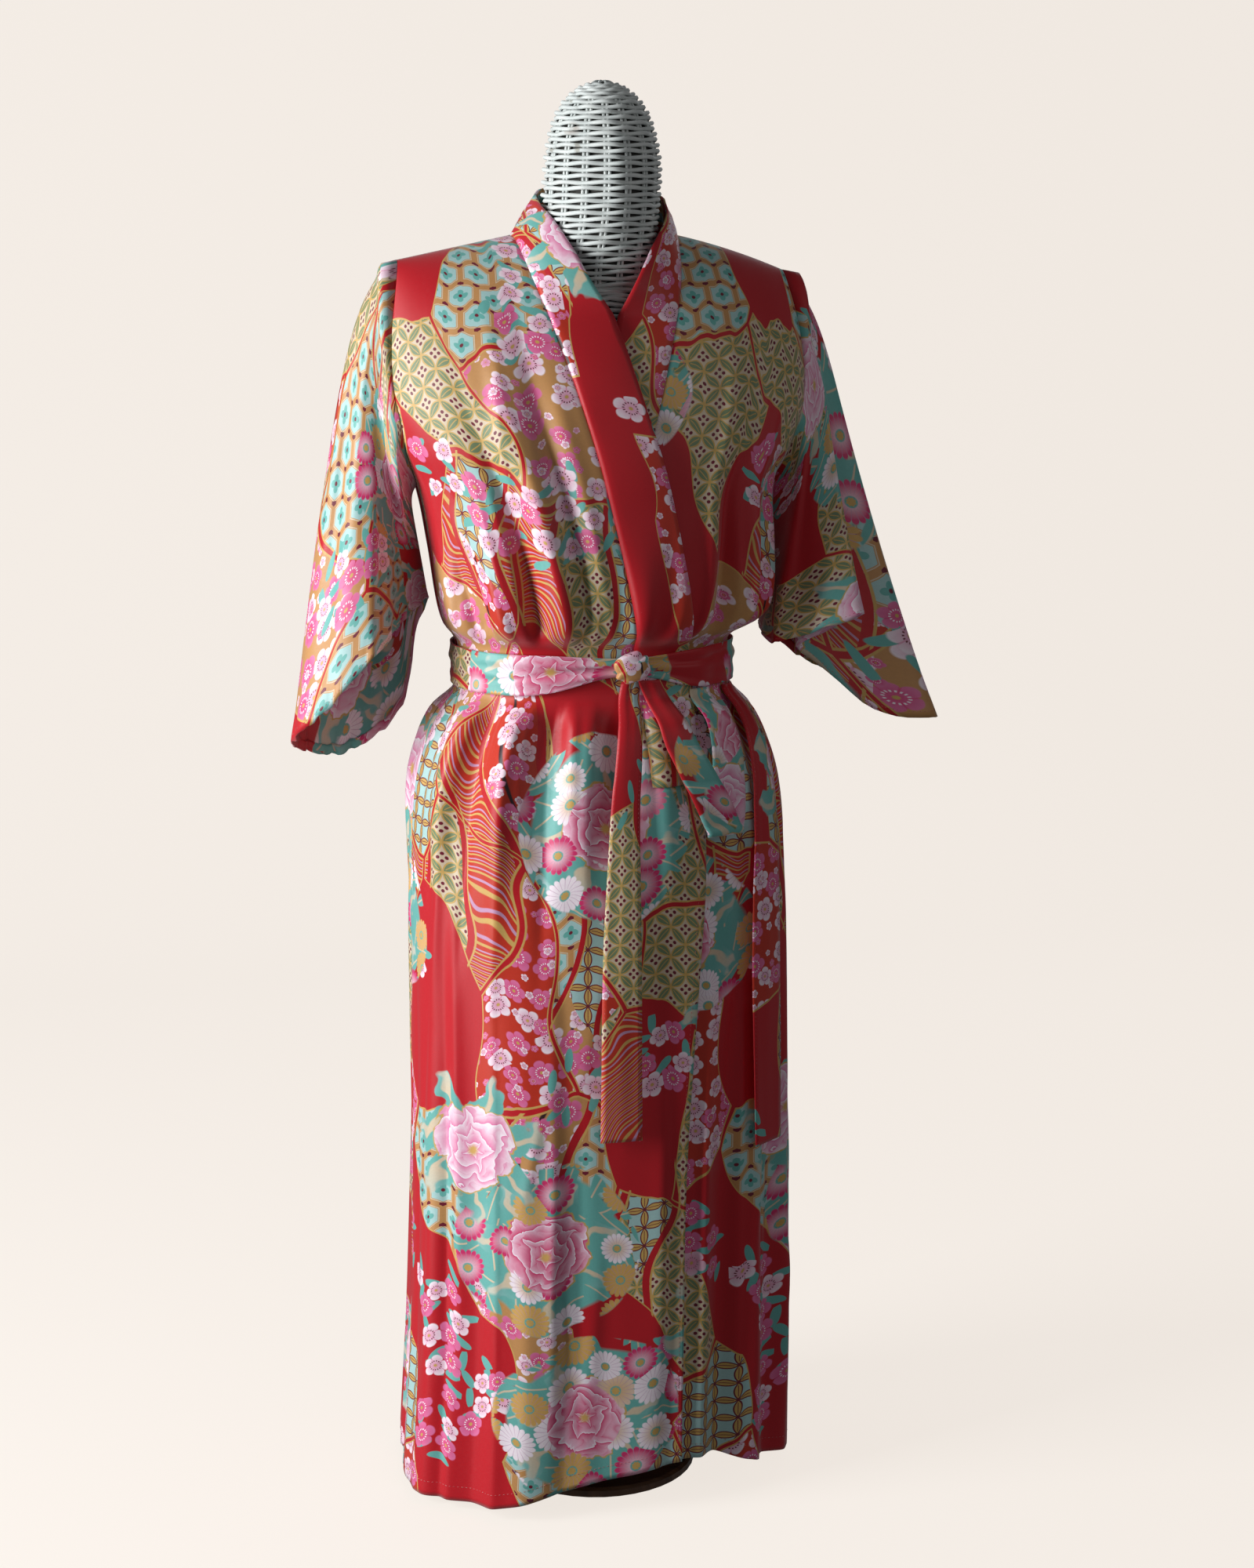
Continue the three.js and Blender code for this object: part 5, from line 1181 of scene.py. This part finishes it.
def knotPiece():
    # a flattened lump of wrapped band: folds run over it and sink where they tuck in
    lift = wrapLift(4.0) + robe["cloth"] + sash["wall"] + sash["gap"]
    face = bodyPoint(turnAt(knot["x"], robe["belt"]), robe["belt"], lift, bodyLevels, False)
    rows, cols = knot["rows"], knot["columns"]
    polar = np.linspace(0.02, np.pi - 0.02, rows)[:, None]
    turn = 2 * np.pi * np.arange(cols) / cols
    x = np.sin(polar) * np.cos(turn)
    z = np.sin(polar) * np.sin(turn)
    y = np.cos(polar) + 0 * turn
    lean = x * 0.8 + z * 0.6  # the wrap runs up to the right
    across = -x * 0.6 + z * 0.8
    swell = 1 + knot["relief"] * np.cos(across * knot["folds"] + 0.6 * np.sin(lean * 3))
    swell = swell - knot["tuck"] * np.exp(-((across - knot["tuckAt"]) / knot["tuckHalf"]) ** 2)
    swell = swell * (1 + knot["ends"] * np.exp(-((np.abs(lean) - 0.9) / 0.3) ** 2))
    points = np.stack([signedPower(x, knot["faceSquare"]) * (knot["wide"] / 2) * swell,
                       -signedPower(y, knot["deepSquare"]) * (knot["deep"] / 2),
                       signedPower(z, knot["faceSquare"]) * (knot["tall"] / 2) * swell], -1)
    points += [knot["x"], face[1] - knot["deep"] / 2 - robe["gap"], knot["z"]]
    index = np.arange(rows * cols).reshape(rows, cols)
    right = np.roll(index, -1, 1)
    faces = np.stack([index[:-1], index[1:], right[1:], right[:-1]], -1).reshape(-1, 4).tolist()
    faces += [index[0].tolist(), index[-1].tolist()[::-1]]
    flat = points.reshape(-1, 3)
    cut = [(knot["printAt"] + x * mm + y * mm * 0.5, z * mm + 0.3) for x, y, z in flat]
    uvs = [cut[v] for face in faces for v in face]
    obj = newObject("sash_knot_cloth", flat, faces, robePrint, uvs)
    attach(obj, "root")
    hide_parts("sash_knot")


knotPiece()
print("sash made")

wovenForm = {
    "stakes": 16, "pair": 2.1, "stakeInset": 2.2, "stakeRadius": 1.7, "caneRadius": 2.3, "wave": 1.9, "pitch": 6.1,
    "sag": 2.2, "nest": 0.7, "points": 126, "sides": 6, "coreInset": 4.6,
    "headFrom": 1243, "headTo": 1477, "stakeTop": 1462, "chestFrom": 1150, "chestPoints": 150,
    "lean": 9, "leanOver": (1270, 1410), "ridge": 5, "ridgeHalf": 11, "ridgeFrom": 1332, "ridgeTall": 114,
    "tuft": 9, "coreSides": 72, "chestDrop": 1.6, "slopeDrop": 7, "slopeOver": (86, 112),
    "chestTo": 1327, "chestShare": 0.86, "rowUneven": 0.18, "crown": 1477.5, "tuftFoot": 1475.5, "tuftTall": 4.5,
}
headLevels = columns("z wide fore back", [
    (1240, 66, 66, 54), (1280, 60, 66, 50), (1308, 58, 69, 47), (1328, 57.5, 75, 46), (1348, 57, 78, 46),
    (1372, 57, 75, 49), (1390, 57, 72, 53), (1414, 54.5, 67, 58), (1442, 47, 56, 54), (1460, 37, 43, 43),
    (1473, 22, 25, 25), (1479, 8, 9, 9)])


def headPoint(turn, z, out=0.0):
    turn, z = np.broadcast_arrays(np.asarray(turn, float), np.asarray(z, float))
    sine, cosine = np.sin(np.radians(turn)), np.cos(np.radians(turn))
    climb = np.clip((z - wovenForm["ridgeFrom"]) / wovenForm["ridgeTall"], 0, 1)
    ridge = wovenForm["ridge"] * np.exp(-((wrapped(turn) / wovenForm["ridgeHalf"]) ** 2)) * np.sin(np.pi * climb)
    wide = np.maximum(1, read(headLevels, "wide", z) + out)
    deep = np.maximum(1, depthAt(headLevels, cosine > 0, z) + out)
    x = wovenForm["lean"] * smooth(*wovenForm["leanOver"], z) + wide * sine
    return np.stack([x, -deep * cosine - ridge, z], -1)


def chestPoint(turn, level, out=0.0):
    point = bodyPoint(turn, level, out, formLevels, False)
    slope = wovenForm["slopeDrop"] * (1 - smooth(*wovenForm["slopeOver"], np.abs(point[..., 0])))
    point[..., 2] -= riseOf(level) * (wovenForm["chestDrop"] + slope)
    return point


def newTree(name, labels):
    # an empty node tree with its named inputs and their identifiers
    tree = bpy.data.node_groups.new(name, "GeometryNodeTree")
    keys = {}
    for label, kind in {"Geometry": "Geometry", **labels, "Material": "Material"}.items():
        socket = tree.interface.new_socket(label, in_out="INPUT", socket_type="NodeSocket" + kind)
        keys[label] = socket.identifier
    tree.interface.new_socket("Geometry", in_out="OUTPUT", socket_type="NodeSocketGeometry")
    return tree, keys, tree.nodes.new("NodeGroupInput").outputs


def madeBy(tree, kind, given, output=0, **settings):
    return addNode(tree, kind, given, **settings).outputs[output]


def carried(tree, name, kind):
    return madeBy(tree, "GeometryNodeInputNamedAttribute", {"Name": name}, "Attribute", data_type=kind)


def liftedCurve(tree, given, height):
    # the mesh's lines as curves, moved along their own outward direction
    curve = madeBy(tree, "GeometryNodeMeshToCurve", {0: given["Geometry"]})
    outward = carried(tree, "outward", "FLOAT_VECTOR")
    push = madeBy(tree, "ShaderNodeVectorMath", {0: outward, "Scale": height}, operation="SCALE")
    return madeBy(tree, "GeometryNodeSetPosition", {"Geometry": curve, "Offset": push})


def endTree(tree, given, shape):
    real = madeBy(tree, "GeometryNodeRealizeInstances", {0: shape})
    finish = {"Geometry": real, "Material": given["Material"]}
    addNode(tree, "NodeGroupOutput", {0: madeBy(tree, "GeometryNodeSetMaterial", finish)})


def caneTree():
    # a cane swept along each line of the mesh, waved in and out
    tree, keys, given = newTree("woven cane", {"Cane radius": "Float", "Wave height": "Float", "Sides": "Int"})
    phase = carried(tree, "phase", "FLOAT")
    sine = madeBy(tree, "ShaderNodeMath", {0: phase}, operation="SINE")
    height = madeBy(tree, "ShaderNodeMath", {0: sine, 1: given["Wave height"]}, operation="MULTIPLY")
    ring = madeBy(tree, "GeometryNodeCurvePrimitiveCircle", {
        "Resolution": given["Sides"], "Radius": given["Cane radius"]})
    cane = madeBy(tree, "GeometryNodeCurveToMesh", {
        "Curve": liftedCurve(tree, given, height), "Profile Curve": ring, "Fill Caps": True})
    endTree(tree, given, madeBy(tree, "GeometryNodeSetShadeSmooth", {"Geometry": cane}))
    return tree, keys


def grown(name, points, edges, tree, keys, values, attributes):
    # runs a node tree on lines and keeps the plain mesh that it makes
    mesh = bpy.data.meshes.new(name + "_lines")
    mesh.from_pydata((points * mm).tolist(), edges, [])
    for key, (kind, data) in attributes.items():
        layer = mesh.attributes.new(key, kind, "POINT")
        layer.data.foreach_set("value" if kind == "FLOAT" else "vector", np.asarray(data, np.float32).ravel())
    obj = bpy.data.objects.new(name + "_lines", mesh)
    scene.collection.objects.link(obj)
    modifier = obj.modifiers.new("grow", "NODES")
    modifier.node_group = tree
    for key, value in values.items():
        modifier[keys[key]] = value
    bpy.context.view_layer.update()
    shaped = obj.evaluated_get(bpy.context.evaluated_depsgraph_get())
    made = bpy.data.meshes.new_from_object(shaped)
    obj.modifiers.remove(modifier)
    bpy.data.objects.remove(obj)
    final = bpy.data.objects.new(name, made)
    scene.collection.objects.link(final)
    return final


class Lines:
    # open and closed lines of points, each point with its outward direction and its place in the weave
    def __init__(self):
        self.points, self.outs, self.phases, self.edges = [], [], [], []

    def add(self, line, outer, phase, closed):
        first = sum(len(p) for p in self.points)
        self.points.append(line)
        self.outs.append(unit(outer - line))
        self.phases.append(np.broadcast_to(phase, len(line)))
        last = len(line) if closed else len(line) - 1
        self.edges.extend((first + i, first + (i + 1) % len(line)) for i in range(last))

    def grow(self, name, tree, keys, values):
        return grown(name, np.concatenate(self.points), self.edges, tree, keys, values, {
            "phase": ("FLOAT", np.concatenate(self.phases)),
            "outward": ("FLOAT_VECTOR", np.concatenate(self.outs))})


def wovenRows():
    # closed rows round the chest, the neck and the head; each goes behind the stakes that the last one passed
    lines = Lines()
    half = wovenForm["stakes"] / 2
    draw = np.random.default_rng(23)
    levels = np.linspace(wovenForm["chestFrom"], wovenForm["chestTo"], 400)
    along = lengthAlong(chestPoint(0.0, levels))
    turns = np.linspace(0, 360, wovenForm["chestPoints"], endpoint=False)
    rowsAt = np.arange(0, along[-1] * wovenForm["chestShare"], wovenForm["pitch"])
    for n, level in enumerate(np.interp(rowsAt, along, levels)):
        at = turns + draw.uniform(0, 3)
        lines.add(chestPoint(at, level), chestPoint(at, level, 5), np.radians(at) * half + math.pi * n, True)
    turns = np.linspace(0, 360, wovenForm["points"], endpoint=False)
    n, z = 0, wovenForm["headFrom"]
    while z < wovenForm["headTo"]:
        at = turns + draw.uniform(0, 4)
        phase = np.radians(at) * half + math.pi * n
        dip = wovenForm["sag"] * np.sin(np.radians(at) + 0.6) * (1 - smooth(1300, 1400, z))
        dip = dip + draw.normal(0, wovenForm["rowUneven"])
        level = np.minimum(z + dip + wovenForm["nest"] * np.sin(phase), wovenForm["crown"])
        lines.add(headPoint(at, level), headPoint(at, level, 5), phase, True)
        z += wovenForm["pitch"] / max(1.0, float(np.linalg.norm(headPoint(0.0, z + 1) - headPoint(0.0, z))))
        n += 1
    return lines


def stakeLines():
    # upright stakes in pairs; their ends are bound into a small tuft on the crown
    lines = Lines()
    levels = np.linspace(1246, wovenForm["stakeTop"], 40)
    reach = np.maximum(6, read(headLevels, "wide", levels))
    for k in range(wovenForm["stakes"]):
        for side in (-1, 1):
            at = 360 / wovenForm["stakes"] * (k + 0.5) + side * np.degrees(wovenForm["pair"] / reach)
            lines.add(headPoint(at, levels, -wovenForm["stakeInset"]), headPoint(at, levels, 5), 0.0, False)
    draw = np.random.default_rng(31)
    rise = np.linspace(0, 1, 9)
    for k in range(wovenForm["tuft"]):
        angle = 2 * math.pi * k / wovenForm["tuft"]
        reach = draw.uniform(9, 14)
        bow = np.sin(rise * math.pi * draw.uniform(0.75, 0.95))
        x = wovenForm["lean"] + math.cos(angle) * reach * (1 - rise) + draw.uniform(-2, 2) * rise
        y = math.sin(angle) * reach * (1 - rise) + draw.uniform(-2, 2) * rise
        tuft = np.stack([x, y, wovenForm["tuftFoot"] + wovenForm["tuftTall"] * bow], -1)
        lines.add(tuft, tuft + [0, 0, 1], 0.0, False)
    return lines


tree, keys = caneTree()
for name, lines, radius, wave in (("form_canes", wovenRows(), "caneRadius", wovenForm["wave"]),
                                  ("form_stakes", stakeLines(), "stakeRadius", 0.0)):
    piece = lines.grow(name, tree, keys, {
        "Cane radius": wovenForm[radius] * mm, "Wave height": wave * mm, "Sides": wovenForm["sides"],
        "Material": paintedCane})
    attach(piece, "root")
    print(name, len(piece.data.polygons), "faces")


def loftFaces(rows, cols, offset=0):
    faces = [(offset + r * cols + c, offset + r * cols + (c + 1) % cols, offset + (r + 1) * cols + (c + 1) % cols,
              offset + (r + 1) * cols + c) for r in range(rows - 1) for c in range(cols)]
    faces.append(tuple(offset + c for c in reversed(range(cols))))
    faces.append(tuple(offset + (rows - 1) * cols + c for c in range(cols)))
    return faces


sides = wovenForm["coreSides"]
turns = np.linspace(0, 360, sides, endpoint=False)
levels = np.concatenate([[622, 638, 690, 760, 820, 858, 896, 928, 960, 1020, 1080],
                         1080 + 249 * np.array([0.18, 0.36, 0.52, 0.66, 0.78, 0.87, 0.94, 0.985])])
inset = wovenForm["coreInset"] * smooth(1100, 1150, levels[:, None])
torso = chestPoint(turns[None, :], levels[:, None], -inset)
headRows = np.array([1240, 1260, 1280, 1308, 1328, 1348, 1372, 1390, 1402, 1414, 1428, 1442, 1452, 1460, 1467,
                     1472])
head = headPoint(turns[None, :], headRows[:, None], -wovenForm["coreInset"])
faces = loftFaces(len(levels), sides) + loftFaces(len(headRows), sides, len(levels) * sides)
core = newObject("form_core", np.concatenate([torso.reshape(-1, 3), head.reshape(-1, 3)]), faces, wovenBody)
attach(core, "root")
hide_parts("form_body")
print("form woven")

stitching = {"pitch": 4.6, "length": 2.7, "thick": 0.5, "lift": 0.62, "hemAt": 13, "collarOut": 1.6}


def stitchTree():
    # short threads laid end to end along each line, lifted off the cloth
    tree, keys, given = newTree("running stitch", {
        "Pitch": "Float", "Length": "Float", "Thickness": "Float", "Lift": "Float", "Seed": "Int"})
    places = madeBy(tree, "GeometryNodeResampleCurve", {
        "Curve": liftedCurve(tree, given, given["Lift"]), "Length": given["Pitch"]}, mode="LENGTH")
    ahead = madeBy(tree, "GeometryNodeInputTangent", {})
    align = madeBy(tree, "FunctionNodeAlignRotationToVector", {"Vector": ahead}, axis="X")
    ball = madeBy(tree, "GeometryNodeMeshUVSphere", {"Segments": 6, "Rings": 4, "Radius": 0.5})
    size = madeBy(tree, "ShaderNodeCombineXYZ", {
        0: given["Length"], 1: given["Thickness"], 2: given["Thickness"]})
    bead = madeBy(tree, "GeometryNodeTransform", {"Geometry": ball, "Scale": size})
    vary = madeBy(tree, "FunctionNodeRandomValue", {2: 0.8, 3: 1.1, "Seed": given["Seed"]}, 1, data_type="FLOAT")
    endTree(tree, given, madeBy(tree, "GeometryNodeInstanceOnPoints", {
        "Points": places, "Instance": bead, "Rotation": align, "Scale": vary}))
    return tree, keys


stitchNodes, stitchKeys = stitchTree()


def stitch(name, rows, seed):
    # rows: pairs of a line on the cloth and its outward directions
    lines = Lines()
    for line, out, closed in rows:
        lines.add(line, line + out, 0.0, closed)
    obj = lines.grow(name, stitchNodes, stitchKeys, {
        "Pitch": stitching["pitch"] * mm, "Length": stitching["length"] * mm, "Thickness": stitching["thick"] * mm,
        "Lift": stitching["lift"] * mm, "Seed": seed, "Material": thread})
    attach(obj, "root")


def awayFromPost(line, outs):
    return outs * np.sign((outs * line * [1, 1, 0]).sum(-1, keepdims=True))


hemRow = int(np.argmin(np.abs(allRows - robe["hem"] - stitching["hemAt"]) + 99 * turnedUp))
hemLines = []
for grid in (fronts[-1], fronts[1], backGrid):
    outs = awayFromPost(grid[hemRow], gridNormals(grid)[hemRow])
    hemLines.append((grid[hemRow], outs, False))
edgeRows = slice(len(hemRows) + 2, int(np.argmin(np.abs(allRows - robe["bandEnd"]) + 99 * turnedUp)))
for side, column in ((-1, -3), (1, 2)):
    line = fronts[side][edgeRows, column]
    hemLines.append((line, awayFromPost(line, gridNormals(fronts[side])[edgeRows, column]), False))
stitch("hem_stitches", hemLines, 1)
cuffLines = []
for side, grid in sleeveGrids.items():
    row = sleeveShape["rows"] - 2
    centre = grid[row].mean(0)
    out = gridNormals(grid, closed=True)[row]
    out = out * np.sign((out * (grid[row] - centre)).sum())
    cuffLines.append((grid[row], out, True))
stitch("cuff_stitches", cuffLines, 2)
bandLines = [(collarShown[:, column], collarNormal[:, column] * stitching["collarOut"], False)
             for column in (1, collarShown.shape[1] - 2)]
stitch("collar_stitches", bandLines, 3)
sashLines = []
for name, grid in sashEnds.items():
    for column in (1, grid.shape[1] - 2):
        out = awayFromPost(grid[:, column], gridNormals(grid)[:, column])
        sashLines.append((mix(grid[:, column], grid[:, 0 if column == 1 else -1], 0.5), out, False))
stitch("sash_stitches", sashLines, 4)
print("stitches laid")


def aimed(name, data, at, towards):
    # a camera or lamp that looks from one place to another
    obj = bpy.data.objects.new(name, data)
    obj.location = at
    obj.rotation_euler = (Vector(towards) - Vector(at)).to_track_quat("-Z", "Y").to_euler()
    scene.collection.objects.link(obj)
    return obj


view = {"turn": 14.0, "distance": 2.90, "height": 1.37, "aim": 0.76, "aside": 0.034, "lens": 64.46}
turn = math.radians(view["turn"])
right = Vector((math.cos(turn), -math.sin(turn), 0))
place = Vector((-math.sin(turn) * view["distance"], -math.cos(turn) * view["distance"], view["height"]))
place += right * view["aside"]
target = Vector((0, 0, view["aim"])) + right * view["aside"]
cameraData = bpy.data.cameras.new("camera")
cameraData.sensor_fit = "VERTICAL"
cameraData.sensor_height = 36
cameraData.lens = view["lens"]
scene.camera = aimed("camera", cameraData, place, target)

for name, at, towards, size, watts, colour in (
        ("windowLight", (-2.68, -0.50, 1.35), (0, 0, 0.85), (1.2, 2.2), 118, (0.97, 0.99, 1.0)),
        ("roomFill", (0.4, -3.3, 1.7), (0, 0, 0.8), (2.0, 2.0), 3.6, (0.98, 0.98, 1.0)),
        ("backLight", (1.6, 2.2, 1.9), (0, 0, 1.0), (1.2, 1.6), 6, (0.96, 0.98, 1.0)),
        ("doorFill", (1.7, -1.5, 1.8), (0.12, 0, 1.25), (1.0, 1.0), 3.4, (1.0, 0.98, 0.96))):
    lamp = bpy.data.lights.new(name, "AREA")
    lamp.shape = "RECTANGLE"
    lamp.size, lamp.size_y = size
    lamp.energy = watts
    lamp.color = colour
    aimed(name, lamp, at, towards)

# the room is pale to the eye and throws only a little light
stage = {"depth": 3.2, "reach": 6.0, "front": -3.5, "bend": 1.2, "height": 4.5, "paper": srgb(246, 238, 230),
         "paperGlow": 0.90, "seen": 0.93, "air": srgb(236, 238, 242), "thrown": 0.11}
world = bpy.data.worlds.new("room")
world.use_nodes = True
tree = world.node_tree
dim = tree.nodes["Background"]
feed(tree, dim, {"Color": stage["air"], "Strength": stage["thrown"]})
pale = addNode(tree, "ShaderNodeBackground", {"Color": stage["paper"], "Strength": stage["seen"]})
rays = addNode(tree, "ShaderNodeLightPath", {})
either = addNode(tree, "ShaderNodeMixShader", {
    0: rays.outputs["Is Camera Ray"], 1: dim.outputs[0], 2: pale.outputs[0]})
feed(tree, tree.nodes["World Output"], {"Surface": either.outputs[0]})
scene.world = world
scene.view_settings.view_transform = "Standard"

# a pale floor that rises into a wall; it glows a little for even paleness and throws no light on the part
bend = np.radians(np.linspace(0, 90, 16))
profile = [(stage["front"], 0.0)]
profile += [(stage["depth"] - stage["bend"] * (1 - math.sin(a)), stage["bend"] * (1 - math.cos(a))) for a in bend]
profile += [(stage["depth"], stage["height"])]
stagePoints = [(s * stage["reach"] * 1000, y * 1000, z * 1000) for y, z in profile for s in (-1, 1)]
stageFaces = [(2 * i, 2 * i + 1, 2 * i + 3, 2 * i + 2) for i in range(len(profile) - 1)]
paper, tree, shader = newMaterial("backdropPaper")
feed(tree, shader, {"Base Color": (0.16, 0.155, 0.15, 1), "Roughness": 1.0, "Specular IOR Level": 0.0,
                    "Emission Color": stage["paper"], "Emission Strength": stage["paperGlow"]})
backdrop = newObject("backdrop", np.array(stagePoints), stageFaces, paper)
backdrop.visible_diffuse = False
backdrop.visible_glossy = False
print("camera, light and backdrop set")
